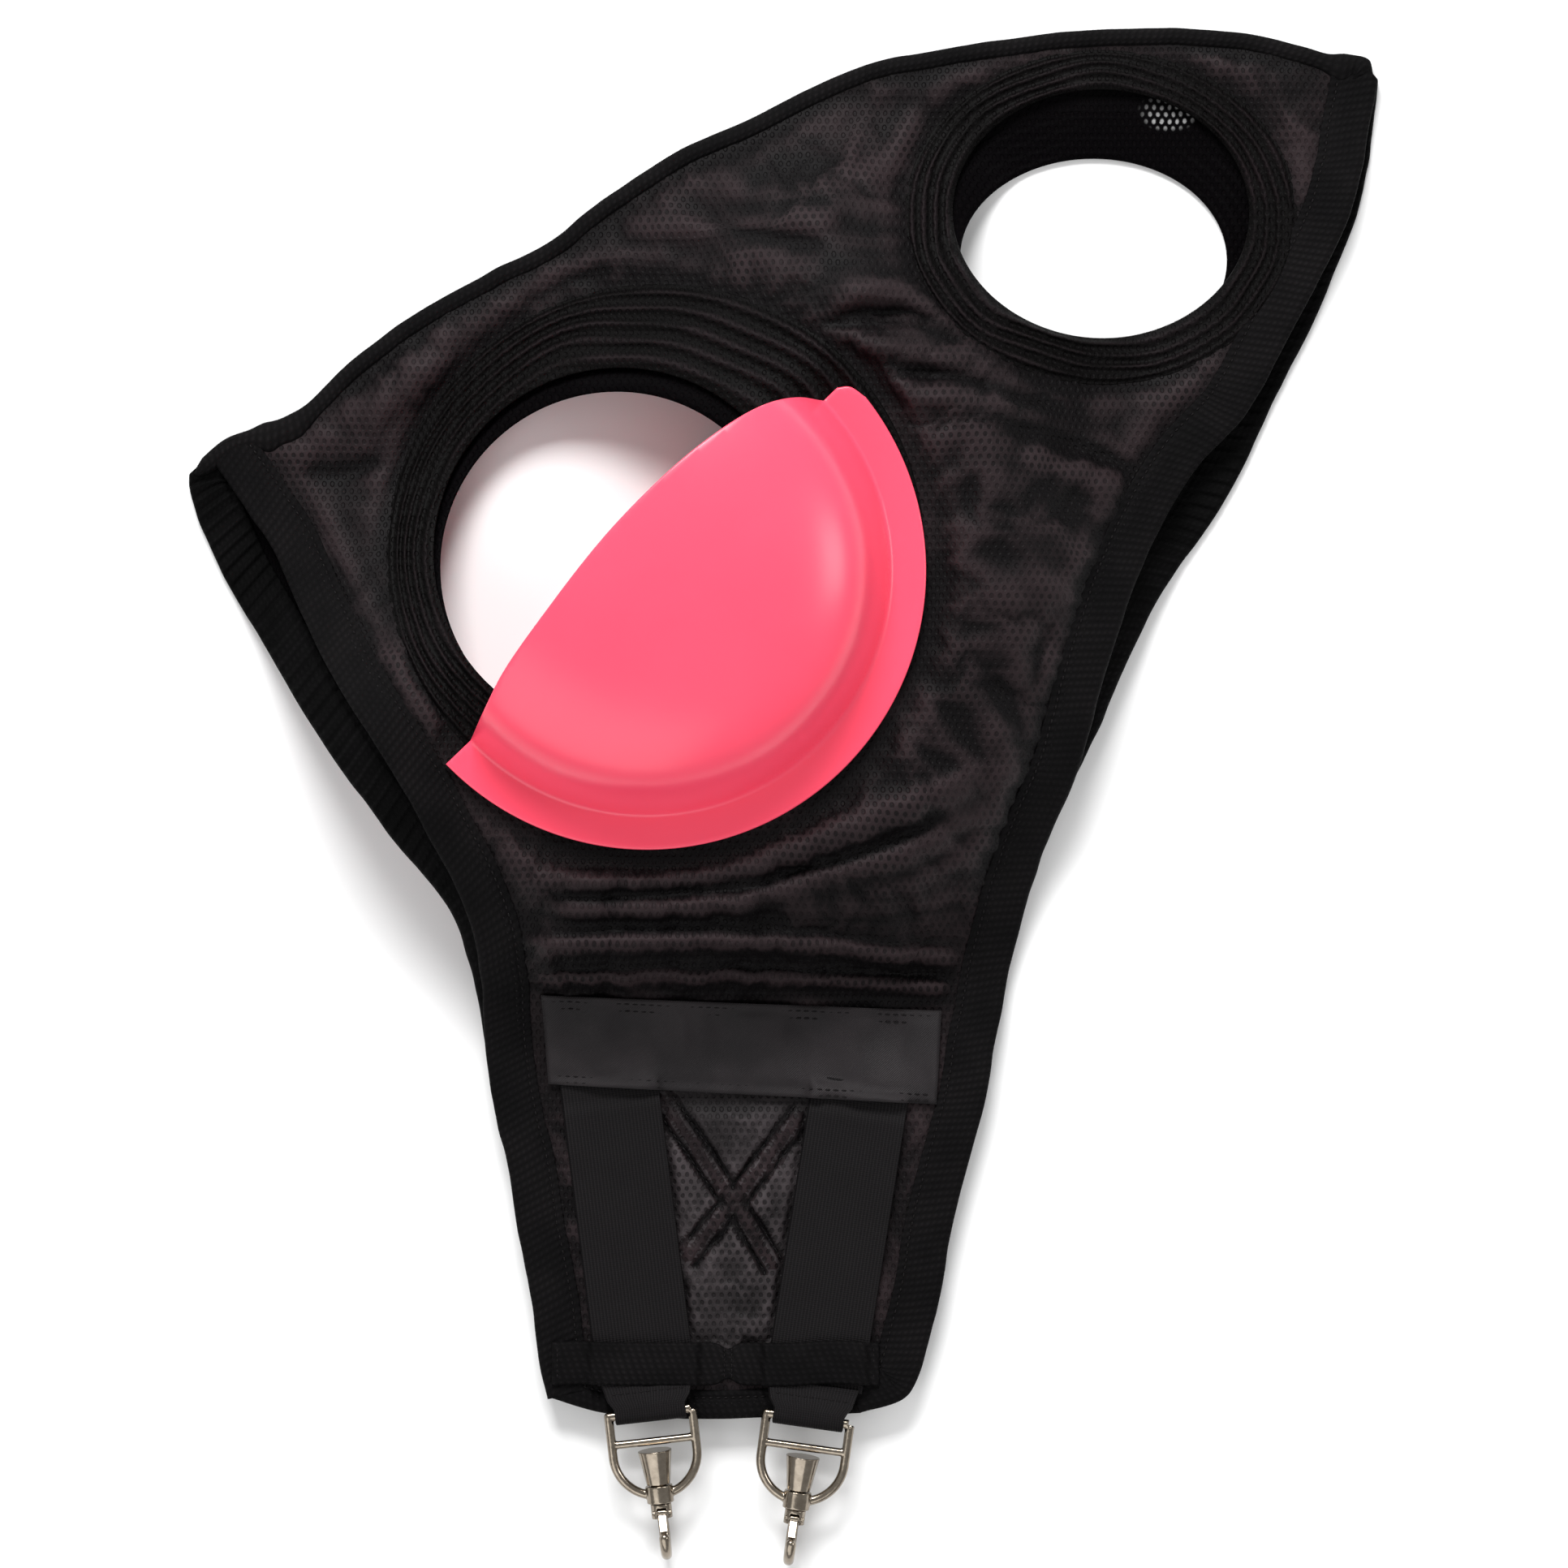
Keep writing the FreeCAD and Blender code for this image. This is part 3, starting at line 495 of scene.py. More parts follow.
def rib_binding(name, dark, light, gloss):
    """Coarse knit binding: short raised loops in rows across the tape."""
    look = Look(name)
    loop = look.wave(look.math("MULTIPLY_ADD", look.v, 0.35, look.u), 2.2)
    row = look.wave(look.v, 1.7)
    knit = look.math("MULTIPLY", loop, look.math("MULTIPLY_ADD", row, 0.7, 0.3))
    fine = look.noise(0.9, 3.0)
    cloud = look.noise(0.05, 2.0)
    base = look.mix(look.step(cloud, 0.3, 0.7), linear(*dark), linear(*light))
    # The colour darkens where the knit dips: painted shade between the loops.
    colour = look.mix(look.math("MULTIPLY_ADD", knit, 0.7, 0.3), linear(*[0.35 * c for c in dark]),
                      base)
    look.bump(look.math("MULTIPLY_ADD", fine, 0.5, knit), 0.26)
    return look.set(Base_Color=colour, Roughness=look.span(fine, 0.7, 0.88),
                    Sheen_Weight=0.0, Specular_IOR_Level=gloss)


def woven_tape():
    """Close woven tape with a fine twill."""
    look = Look("woven_tape")
    twill = look.wave(look.math("ADD", look.u, look.v), 0.7)
    fine = look.noise(1.4, 3.0)
    cloud = look.noise(0.04, 3.0)
    base = look.mix(look.step(cloud, 0.35, 0.65), linear(19, 15, 17), linear(33, 28, 30))
    colour = look.mix(look.math("MULTIPLY", twill, 0.35), base, linear(18, 14, 16))
    look.bump(look.math("MULTIPLY_ADD", fine, 0.6, twill), 0.07)
    return look.set(Base_Color=colour, Roughness=look.span(fine, 0.55, 0.72),
                    Sheen_Weight=0.03, Sheen_Roughness=0.4, Specular_IOR_Level=0.25)


def elastic_web():
    """Woven elastic: cords along the strap, crossed by fine picks."""
    look = Look("elastic_web")
    cords = look.wave(look.u, 1.0)
    picks = look.wave(look.v, 0.62)
    fine = look.noise(1.3, 2.0)
    weave = look.math("MULTIPLY_ADD", picks, 0.35, cords)
    base = look.mix(look.noise(0.06, 2.0), linear(20, 18, 19), linear(27, 25, 26))
    # The colour darkens between the cords: painted shade in the grooves.
    colour = look.mix(look.math("MULTIPLY", look.math("SUBTRACT", 1.0, cords), 0.7),
                      base, linear(6, 5, 6))
    look.bump(look.math("MULTIPLY_ADD", fine, 0.4, weave), 0.14)
    return look.set(Base_Color=colour, Roughness=look.span(fine, 0.5, 0.68),
                    Specular_IOR_Level=0.08)


def touch_tape(name, dark, light, scale, depth):
    """The pile or the hooks of a touch fastener."""
    look = Look(name)
    pile = look.noise(scale, 4.0, 0.7)
    look.bump(pile, depth)
    return look.set(Base_Color=look.mix(look.step(pile, 0.3, 0.7), linear(*dark), linear(*light)),
                    Roughness=look.span(pile, 0.7, 0.9), Sheen_Weight=0.1, Specular_IOR_Level=0.1)


def sewing_thread():
    """Twisted sewing thread."""
    look = Look("sewing_thread")
    twist = look.wave(look.math("ADD", look.u, look.v), 0.5)
    fine = look.noise(1.5, 2.0)
    look.bump(twist, 0.05)
    return look.set(Base_Color=look.mix(look.math("MULTIPLY", twist, fine), linear(14, 12, 13),
                                        linear(30, 27, 28)),
                    Roughness=look.span(fine, 0.45, 0.6), Specular_IOR_Level=0.1)


def cup_plastic():
    """Glossy moulded plastic with a faint drift of shade."""
    look = Look("cup_plastic", "Object")
    flow = look.noise(14.0, 3.0, 0.6)
    grain = look.noise(240.0, 2.0)
    colour = look.mix(flow, linear(249, 70, 98), linear(251, 81, 109))
    look.bump(grain, 0.006)
    return look.set(Base_Color=colour, Roughness=look.span(flow, 0.26, 0.32),
                    Subsurface_Weight=0.12, Subsurface_Radius=(0.004, 0.0015, 0.0015),
                    Specular_IOR_Level=0.5)


def nickel():
    """Plated zinc: bright, a little warm, with soft casting marks."""
    look = Look("nickel", "Object")
    cast = look.noise(420.0, 3.0, 0.6)
    broad = look.noise(90.0, 2.0)
    look.bump(look.math("MULTIPLY_ADD", cast, 0.4, broad), 0.10)
    return look.set(Base_Color=look.mix(cast, linear(112, 102, 90), linear(166, 156, 142)),
                    Metallic=1.0, Roughness=look.span(broad, 0.12, 0.26))


MESH = mesh_cloth("air_mesh", (4, 2, 3), (42, 33, 35), 0.10)
WINDOW = mesh_cloth("air_mesh_window", (19, 16, 17), (62, 56, 58), 0.13)
RIM = mesh_cloth("air_mesh_rim", (3, 2, 2), (26, 20, 22), 0.07)
# The far side's mesh and rims are painted near black: painted shade for the inside of the hood.
SHADED_FAR_MESH = mesh_cloth("air_mesh_painted_shade", (3, 2, 3), (7, 6, 7), 0.02, painted_see_through_light=(114.0, 202.5, 10.0))
RIB = rib_binding("rib_knit", (8, 7, 8), (19, 17, 18), 0.07)
# The far side's bindings: a darker copy of the knit, painted shade for the inside of the hood.
RIB_SHADED = rib_binding("rib_knit_shaded", (3, 3, 3), (13, 12, 13), 0.05)
TAPE = woven_tape()
ELASTIC = elastic_web()
HOOKS = touch_tape("hook_tape", (18, 17, 18), (34, 32, 33), 2.0, 0.25)
LOOPS = touch_tape("loop_tape", (14, 13, 14), (30, 28, 29), 0.9, 0.4)
THREAD = sewing_thread()
PLASTIC = cup_plastic()
NICKEL = nickel()


# ---------------------------------------------------------------- folds in the near panel
# Each strap: bar centre x and y, the strap's turn, the snap's turn and the strap's length.
STRAPS = {"left": (-39.4, -181.5, 7.2, 6.5, 84.4), "right": (7.2, -183.35, -9.0, -8.0, 84.0)}
STRAP_WIDE = 29.0
STRAP_THICK = 1.4
STRAP_BASE = 9.55
BAR_Z = 12.3
TONGUE = 9.3
STRAP_TUCK = 7.0
LOOP_OUTER = 2.75
LOOP_THICK = 1.1

# Each fold: the line that it follows, how high it stands, and how wide it is on either side.
FOLDS = [
    ([(-50, 167), (-20, 168.5), (20, 167)], 3.0, 4.0),
    ([(10, 141), (22, 147), (39, 146), (56, 137)], 5.0, 4.2),
    ([(10, 134), (32, 130), (56, 128)], 3.6, 3.6),
    ([(22, 122), (51, 116), (77, 116)], 3.4, 4.6),
    ([(65, 101), (84, 96), (104, 87)], 3.2, 4.6),
    ([(62, 84), (80, 78), (98, 62)], 2.8, 5.0),
    ([(58, 52), (72, 62), (92, 60)], 2.4, 5.0),
    ([(-82, -26), (-46, -24), (-16, -19), (20, -8), (60, 7)], 4.0, 4.4),
    ([(-70, -33), (-30, -32), (-4, -28), (53, -9)], 3.0, 3.4),
    ([(20, -28), (44, -22), (66, -10)], 2.4, 3.6),
    ([(96, 62), (84, 44), (78, 22)], 2.8, 6.0),
    ([(62, 30), (66, 12), (60, -6)], 2.4, 5.5),
    ([(-128, 108), (-112, 120), (-96, 131)], 2.2, 4.0),
    ([(-140, 92), (-132, 70), (-122, 50)], 1.8, 4.5),
    ([(118, 126), (128, 140), (140, 150)], 2.4, 5.0),
    ([(14, 178), (34, 190), (40, 206)], 2.4, 4.5),
    ([(-26, 184), (-2, 176), (24, 181)], 2.2, 4.0),
    ([(-68, 154), (-50, 160), (-28, 160)], 1.8, 3.5),
]
VALLEYS = [
    ([(8, 137), (24, 140), (40, 139), (58, 131)], 4.0, 3.4),
    ([(30, 124), (52, 121), (84, 112)], 3.6, 3.2),
    ([(58, 108), (80, 104), (112, 92)], 3.0, 3.0),
    ([(-74, -28.5), (-30, -27.5), (0, -23), (50, -3)], 3.2, 2.6),
    ([(-78, -37), (-20, -37), (20, -38), (60, -32)], 3.0, 3.0),
    ([(56, 40), (66, 24), (70, 4)], 2.6, 3.4),
    ([(84, 58), (74, 40), (72, 24)], 2.6, 3.6),
    ([(-30, 172), (-4, 163), (16, 158)], 2.6, 3.4),
    ([(-84, 140), (-66, 151), (-46, 156)], 2.2, 3.0),
    ([(32, 172), (38, 184), (48, 196)], 2.6, 3.4),
    ([(-146, 98), (-128, 96), (-114, 104)], 2.4, 3.4),
    ([(132, 118), (122, 126), (112, 124)], 2.2, 3.0),
]
LOFT = 2.6
TUCKS = [([(-78, -43.6), (-40, -41.6), (0, -42.2), (30, -45.4), (58, -49.0)], 6.0, 2.7),
         ([(-76, -52.8), (-16, -52.4), (54, -57.0)], 4.8, 2.2)]
FOLD_FADE = 12.0
CROSS = (-14.9, -119.6)
CROSS_ARMS = [(-36.5, -88.4), (5.5, -93.2), (-29.3, -136.4), (-2.9, -138.8)]


def on_strap(x, y, strap):
    """Plan points in a strap's own axes: how far off its middle, and how far up from its bar."""
    bar_x, bar_y, turn, _, _ = strap
    c, s = math.cos(math.radians(turn)), math.sin(math.radians(turn))
    return np.abs(c * (x - bar_x) + s * (y - bar_y)), c * (y - bar_y) - s * (x - bar_x)


def fold_height(x, y, line, high, wide):
    """A rounded ridge along a line, fading at its ends."""
    p, run = line_through(line, 2.0)
    best = np.full(np.shape(x), 1e9)
    along = np.zeros(np.shape(x))
    for (px, py), s in zip(p, run):
        d = np.hypot(x - px, y - py)
        closer = d < best
        best = np.where(closer, d, best)
        along = np.where(closer, s, along)
    fade = smooth(along / FOLD_FADE) * smooth((run[-1] - along) / FOLD_FADE)
    return high * fade * bell(best, wide)


def cross_arms(x, y):
    """How far each point is on the ridge of a stitched arm, and in the dips beside it."""
    ridge, dip = np.zeros(np.shape(x)), np.zeros(np.shape(x))
    for ax, ay in CROSS_ARMS:
        way = np.array([ax - CROSS[0], ay - CROSS[1]])
        long = np.hypot(*way)
        way /= long
        s = (x - CROSS[0]) * way[0] + (y - CROSS[1]) * way[1]
        t = (x - CROSS[0]) * -way[1] + (y - CROSS[1]) * way[0]
        on = smooth((s + 3.0) / 3.0) * smooth((long + 2.0 - s) / 3.0)
        ridge = np.maximum(ridge, on * bell(t, 1.7))
        dip = np.maximum(dip, on * bell(np.abs(t) - 3.2, 1.3))
    return ridge, dip


def cross_height(x, y):
    """The cross-stitched part of the flap: ridges along the arms, puffed cloth between them."""
    ridge, dip = cross_arms(x, y)
    window = smooth((x + 40.0) / 6.0) * smooth((10.0 - x) / 6.0)
    window = window * smooth((-90.0 - y) / 6.0) * smooth((y + 162.0) / 8.0)
    for strap_place in STRAPS.values():
        off, _ = on_strap(x, y, strap_place)
        window = window * smooth((off - STRAP_WIDE / 2 - 0.3) / 2.5)
    puff = window * (1.9 + 0.7 * noise(x, y, 9.0, 5))
    return np.where(window > 0, puff * (1.0 - dip) * (1.0 - ridge) + 2.0 * ridge * window, 0.0)


def panel_relief(x, y):
    """How far the near panel's cloth stands above its base level."""
    high = sum(fold_height(x, y, *fold) for fold in FOLDS)
    clear = smooth((cup_distance(x, y) - 1.0) / 6.0)
    open_cloth = smooth((y + 38.0) / 8.0)
    drift = 1.6 * noise(x, y, 29.0, 3) + 0.5 * noise(x, y, 12.0, 4)
    press = sum(fold_height(x, y, *valley) for valley in VALLEYS)
    high = high + open_cloth * np.maximum(drift + LOFT, 0.0) - press
    tucks = sum(fold_height(x, y, *tuck) for tuck in TUCKS)
    return clear * np.maximum(high, 0.0) + tucks + cross_height(x, y)


# ---------------------------------------------------------------- the two mesh panels
def outline_of(nose, neck, corner):
    """The four edge lines of one side, and the closed loop that they make."""
    edges = {
        "nose": line_through(nose + FLAP_NOSE_SIDE, 1.5)[0],
        "end": line_through(FLAP_END, 1.5)[0],
        "neck": line_through(FLAP_NECK_SIDE + neck, 1.5)[0],
        "crown": line_through(CROWN + [corner], 1.5)[0],
    }
    return edges, np.vstack([edges[k][:-1] for k in ("nose", "end", "neck", "crown")])


TUCKED = 4.0
EDGE_STEP = 0.2


def clearance(points, edges, loop, holes):
    """How far each point lies inside the panel, whose edges are tucked under the trims."""
    room = np.full(len(points), 1e9)
    for edge, wide in (("nose", BINDING), ("neck", BINDING), ("end", HEM), ("crown", CROWN_TAPE)):
        tuck = min(TUCKED, 0.6 * wide)
        room = np.minimum(room, distance_to(points, edges[edge]) - (wide - tuck))
    for x, y, half_x, half_y in holes:
        spread = np.hypot((points[:, 0] - x) / half_x, (points[:, 1] - y) / half_y)
        room = np.minimum(room, (spread - 1.0) * min(half_x, half_y) + TUCKED)
    return np.where(inside(points, loop), room, -1.0)


def panel_points(panel, spacing, fine_boxes):
    """Points over the panel, closer together where it has small relief."""
    found = []
    for gap, fine in ((spacing, False), (spacing / 2, True)):
        xs = np.arange(-178.0, 178.0, gap)
        ys = np.arange(-190.0, 230.0, gap * math.sqrt(0.75))
        x, y = np.meshgrid(xs, ys)
        x = x + (np.arange(len(ys)) % 2)[:, None] * gap / 2
        p = np.column_stack([x.ravel(), y.ravel()])
        in_fine = np.zeros(len(p), bool)
        for left, right, low, high in fine_boxes:
            in_fine |= ((p[:, 0] > left) & (p[:, 0] < right)
                        & (p[:, 1] > low) & (p[:, 1] < high))
        p = p[in_fine == fine]
        found.append(p[clearance(p, *panel) > gap * 0.3])
    points = np.vstack(found)
    room = clearance(points, *panel)
    for _ in range(3):
        at_edge = room < spacing * 0.9
        p = points[at_edge]
        slope = np.column_stack([clearance(p + way, *panel) - clearance(p - way, *panel)
                                 for way in ([EDGE_STEP, 0], [0, EDGE_STEP])]) / (2 * EDGE_STEP)
        steep = np.maximum(np.hypot(slope[:, 0], slope[:, 1]), 0.3)[:, None] ** 2
        moved = p - slope / steep * np.clip(room[at_edge], -1.0, spacing)[:, None] * 0.8
        keep_old = clearance(moved, *panel) < 0.0
        points[at_edge] = np.where(keep_old[:, None], p, moved)
        room[at_edge] = clearance(points[at_edge], *panel)
    return points, room


def triangulate(points, panel, spacing):
    """Triangles over the points, without the ones that bridge a hole or an edge."""
    flat = [Vector(p) for p in points.tolist()]
    _, _, faces, origin, _, _ = delaunay_2d_cdt(flat, [], [], 0, 1e-5)
    index = np.array([o[0] for o in origin])
    faces = index[np.array(faces)]
    corners = points[faces]
    longest = np.max([np.hypot(*(corners[:, i] - corners[:, (i + 1) % 3]).T) for i in range(3)],
                     axis=0)
    middle = corners.mean(axis=1)
    wanted = (clearance(middle, *panel) > -0.4) & (longest < spacing * 2.6)
    return faces[wanted]


# The cloth's settings. The shrink factor below 0 makes it larger than its fixed edges.
CLOTH = {"quality": 6, "mass": 0.25, "tension_stiffness": 12.0, "compression_stiffness": 12.0,
         "shear_stiffness": 3.0, "bending_stiffness": 0.4, "air_damping": 3.0,
         "vertex_group_mass": "pins", "shrink_min": -0.04, "shrink_max": -0.04}
CLOTH_STEPS = 24
# The cloth is simulated this many times larger than it is, with larger cells.
CLOTH_SCALE = 10.0
CLOTH_THICK = 0.9


def buckle(points, faces, pinned, seed):
    """Cloth simulation: the panel is a little larger than its fixed edges, so it wrinkles."""
    shaken = points + np.column_stack([np.zeros((len(points), 2)),
                                       0.05 * np.random.default_rng(seed).standard_normal(
                                           len(points))])
    obj = make_mesh("simulated", shaken * CLOTH_SCALE, faces.tolist())
    group = obj.vertex_groups.new(name="pins")
    group.add([int(i) for i in np.nonzero(pinned)[0]], 1.0, "REPLACE")
    cloth = obj.modifiers.new("cloth", "CLOTH")
    for name, value in CLOTH.items():
        setattr(cloth.settings, name, value)
    cloth.settings.effector_weights.gravity = 0.0
    cloth.point_cache.frame_start = 1
    cloth.point_cache.frame_end = 30
    for step in range(1, CLOTH_STEPS + 1):
        scene.frame_set(step)
    result = obj.evaluated_get(bpy.context.evaluated_depsgraph_get())
    moved = np.empty(len(points) * 3, np.float32)
    result.data.vertices.foreach_get("co", moved)
    bpy.data.objects.remove(obj)
    scene.frame_set(1)
    return moved.reshape(-1, 3).astype(float) / (CLOTH_SCALE * MM)


def stands_above(height, faces, passes=7):
    """How far each point stands above the cloth round it."""
    pairs = np.vstack([faces[:, [0, 1]], faces[:, [1, 2]], faces[:, [2, 0]]])
    count = np.bincount(pairs.ravel(), minlength=len(height))
    around = height
    for _ in range(passes):
        total = (np.bincount(pairs[:, 0], around[pairs[:, 1]], len(height))
                 + np.bincount(pairs[:, 1], around[pairs[:, 0]], len(height)))
        around = total / np.maximum(count, 1)
    return height - around


def solid_sheet(name, points, faces, uvs, material):
    """A closed sheet of even thickness about a surface of triangles."""
    a, b, c = (points[faces[:, i]] for i in range(3))
    normal = np.zeros_like(points)
    face_normal = np.cross(b - a, c - a)
    for i in range(3):
        np.add.at(normal, faces[:, i], face_normal)
    normal /= np.maximum(np.linalg.norm(normal, axis=1), 1e-9)[:, None]
    normal[normal[:, 2] < 0] *= -1
    count = len(points)
    both = np.vstack([points + normal * CLOTH_THICK / 2, points - normal * CLOTH_THICK / 2])
    up = face_normal[:, 2] > 0
    faces = np.where(up[:, None], faces, faces[:, ::-1])
    edges = dict.fromkeys((tri[i], tri[(i + 1) % 3]) for tri in faces for i in range(3))
    sides = [(int(p), int(p + count), int(q + count), int(q))
             for p, q in edges if (q, p) not in edges]
    all_faces = faces.tolist() + (faces[:, ::-1] + count).tolist() + sides
    return make_mesh(name, both, all_faces, np.vstack([uvs, uvs]), material)


def flat_area(points, faces):
    """Area of the panel's cut, laid flat, in square metres."""
    a, b, c = (points[faces[:, i], :2] for i in range(3))
    return float(np.abs(np.cross(b - a, c - a)).sum() / 2) * MM * MM


# Plan boxes, each left, right, low and high: where the cloth has small relief, and its window.
FINE_BOXES = [(-42, 12, -165, -88), (-82, 66, -61, -20), (0, 70, 108, 152)]
WINDOW_BOX = (-42, 10, -165, -86)
BAND_SPAN = (-58.0, -93.0)


def make_panel(side, nose, neck, corner, eye, ear, level, spacing, fine_boxes, seed):
    """One side's mesh panel."""
    panel = (*outline_of(nose, neck, corner), (eye[1], ear[1]))
    flat, room = panel_points(panel, spacing, fine_boxes)
    faces = triangulate(flat, panel, spacing)
    used = np.unique(faces)
    renumber = np.full(len(flat), -1)
    renumber[used] = np.arange(len(used))
    flat, room, faces = flat[used], room[used], renumber[faces]
    x, y = flat.T
    base = (near_drape(x, y) if side == "near" else drape(x, y)) + level
    rest = np.column_stack([x, y, base])
    moved = rest.copy()
    under_band = (y < BAND_SPAN[0]) & (y > BAND_SPAN[1])
    still = (room < TUCKED - 0.4) | under_band | (cup_distance(x, y) < 1.0)
    moved = buckle(rest, faces, still, seed)
    lift = moved[:, 2] - base
    shown = room - TUCKED
    calm = smooth((shown + 0.8) / 7.0)
    if side == "near":
        lift = np.where(lift > 0, lift, 0.35 * lift) * smooth((shown + 1.2) / 3.0)
        lift = np.maximum(lift + calm * panel_relief(x, y), -0.7)
    else:
        lift = np.clip(lift, -0.9, 0.6) * smooth((base - 2.0) / 6.0) * smooth(shown / 6.0)
        lift -= 0.25 * smooth((0.4 - shown) / 2.0)
        lift -= 1.2 * smooth((base - 6.0) / 8.0) * calm * np.maximum(noise(x, y, 21.0, 9), 0.0)
    points = np.column_stack([moved[:, 0], moved[:, 1], base + lift])
    look = MESH if side == "near" else SHADED_FAR_MESH
    obj = solid_sheet(side + "_mesh_panel", points, faces, flat, look)
    # Stored for painted shade and highlight: how far the cloth stands above the cloth round it.
    store(obj, "painted_fold_shade", np.tile(stands_above(lift, faces), 2))
    if side == "near":
        obj.data.materials.append(WINDOW)
        for polygon in obj.data.polygons:
            spot = polygon.center / MM
            on_arm = max(float(share) for share in cross_arms(spot.x, spot.y))
            left, right, low, high = WINDOW_BOX
            if left < spot.x < right and low < spot.y < high and on_arm < 0.45:
                polygon.material_index = 1
    return obj, flat_area(flat, faces)


near_panel, near_area = make_panel("near", NEAR_NOSE, NEAR_NECK, NEAR_CORNER, NEAR_EYE, NEAR_EAR,
                                   3.05, 2.2, FINE_BOXES, 11)
far_panel, far_area = make_panel("far", FAR_NOSE, FAR_NECK, FAR_CORNER, FAR_EYE, FAR_EAR,
                                 0.6, 2.8, [], 12)
done(near_panel, "hood", "mesh_cloth", "near_panel")
done(far_panel, "hood", "mesh_cloth", "far_panel")


# ---------------------------------------------------------------- bindings, hems and crown tape
TRIM_STEP = 0.62
RIB_PITCH = 4.2
RIB_SLANT = 0.35
FLOOR_CLEAR = 0.05


def laid_on(base, rings, middle):
    """Lifts rings of points onto the draped cloth, and keeps them off the floor."""
    rings[..., 2] += base(rings[..., 0], rings[..., 1]) + middle
    rings[..., 2] = np.maximum(rings[..., 2], FLOOR_CLEAR)
    return rings


def within_crown(x, y, crown, way_in, margin):
    """Moves points that lie past the crown line back inside it."""
    apart = np.hypot(x[:, None] - crown[None, :, 0], y[:, None] - crown[None, :, 1])
    k = apart.argmin(axis=1)
    depth = (x - crown[k, 0]) * way_in[k, 0] + (y - crown[k, 1]) * way_in[k, 1]
    back = np.maximum(margin - depth, 0.0)
    return x + way_in[k, 0] * back, y + way_in[k, 1] * back


def trim(name, line_points, wide, low, high, side, rib_high, wavy, before=0.0, beyond=0.0):
    """A folded tape along an edge: round at the fold, thin at the inner edge."""
    line, _ = line_through(line_points, TRIM_STEP)
    for add, end, after in ((before, 0, 1), (beyond, -1, -2)):
        steps = np.arange(1, int(add / TRIM_STEP) + 1)[:, None]
        more = line[end] + (line[end] - line[after]) * steps
        line = np.vstack([more[::-1], line] if end == 0 else [line, more])
    run = np.arange(len(line)) * TRIM_STEP
    left = left_of(line)
    base = near_drape if side == "near" else drape
    up = side == "near"
    crown = line_through(CROWN + [NEAR_CORNER if up else FAR_CORNER], 0.8)[0]
    way_in = left_of(crown)
    half = (high - low) / 2
    across = np.concatenate([[0.0, 0.2, 0.6, 1.2, 2.0], np.linspace(3.0, wide - 2.4, 13),
                             [wide - 1.7, wide - 1.1, wide - 0.6, wide - 0.2, wide]])
    swell = rounded(np.clip(across / 1.3, 0, 1)) * (0.55 + 0.45 * np.sqrt(np.clip(wide - across, 0, 1)))
    stitch_at = wide - 2.2
    groove = 1.0 - 0.35 * bell(across - stitch_at, 0.8) + 0.12 * bell(across - 1.6, 1.2)
    sway = wavy * (noise(run, run * 0, 17.0, 21) + 0.5 * noise(run, run * 0, 6.0, 22))
    rings, uvs = [], []
    for point, way, s, shift in zip(line, left, run, sway):
        x, y = point[0] + way[0] * (across + shift), point[1] + way[1] * (across + shift)
        x, y = within_crown(x, y, crown, way_in, 1.2)
        rib = rib_high * np.abs(np.sin((s + RIB_SLANT * across) * math.pi / RIB_PITCH)) ** 1.5
        inner_rib = (rib - 0.4 * rib_high) * np.clip(swell - 0.4, 0, 1)
        level = half * swell * groove
        rings.append(ring_about(x, y, level + (0 if up else inner_rib),
                                -level - (inner_rib if up else 0)))
        uvs.append(ring_uv(s, across))
    rings = laid_on(base, np.array(rings), (low + high) / 2)
    obj = tube(name, rings, uvs, RIB if up else RIB_SHADED)
    rows = []
    for inset, long in ((stitch_at, 1.25), (stitch_at - 1.7, 1.1)):
        seam = line + left * (inset + sway)[:, None]
        seam = np.column_stack(within_crown(*seam.T, crown, way_in, 3.0))
        face = half * 0.74 * (1 if up else -1)
        heights = base(*seam.T) + (low + high) / 2 + face
        rows.append(stitch_row(seam, heights, 2.2, long, 0.34, width=0.6))
    return join(obj, rows)


for side, nose, neck, low, high in (("near", NEAR_NOSE, NEAR_NECK, 2.0, 4.4),
                                    ("far", FAR_NOSE, FAR_NECK, -0.6, 1.8)):
    at_nose = 0.0 if side == "near" else 8.0
    for edge, points, before, beyond in (("nose", nose + FLAP_NOSE_SIDE, at_nose, 0.8),
                                         ("neck", FLAP_NECK_SIDE + neck, 0.0, 3.0)):
        name = "%s_%s_binding" % (side, edge)
        obj = trim(name + "_knit", points, BINDING, low, high, side, 1.5, 0.3, before, beyond)
        done(obj, "hood", "rib_binding", name)
    name = side + "_flap_hem"
    obj = trim(name + "_knit", FLAP_END, HEM, low + 0.12, high - 0.12, side, 0.5, 0.2)
    done(obj, "hood", "rib_binding", name)


ROLL_SIDES = 28


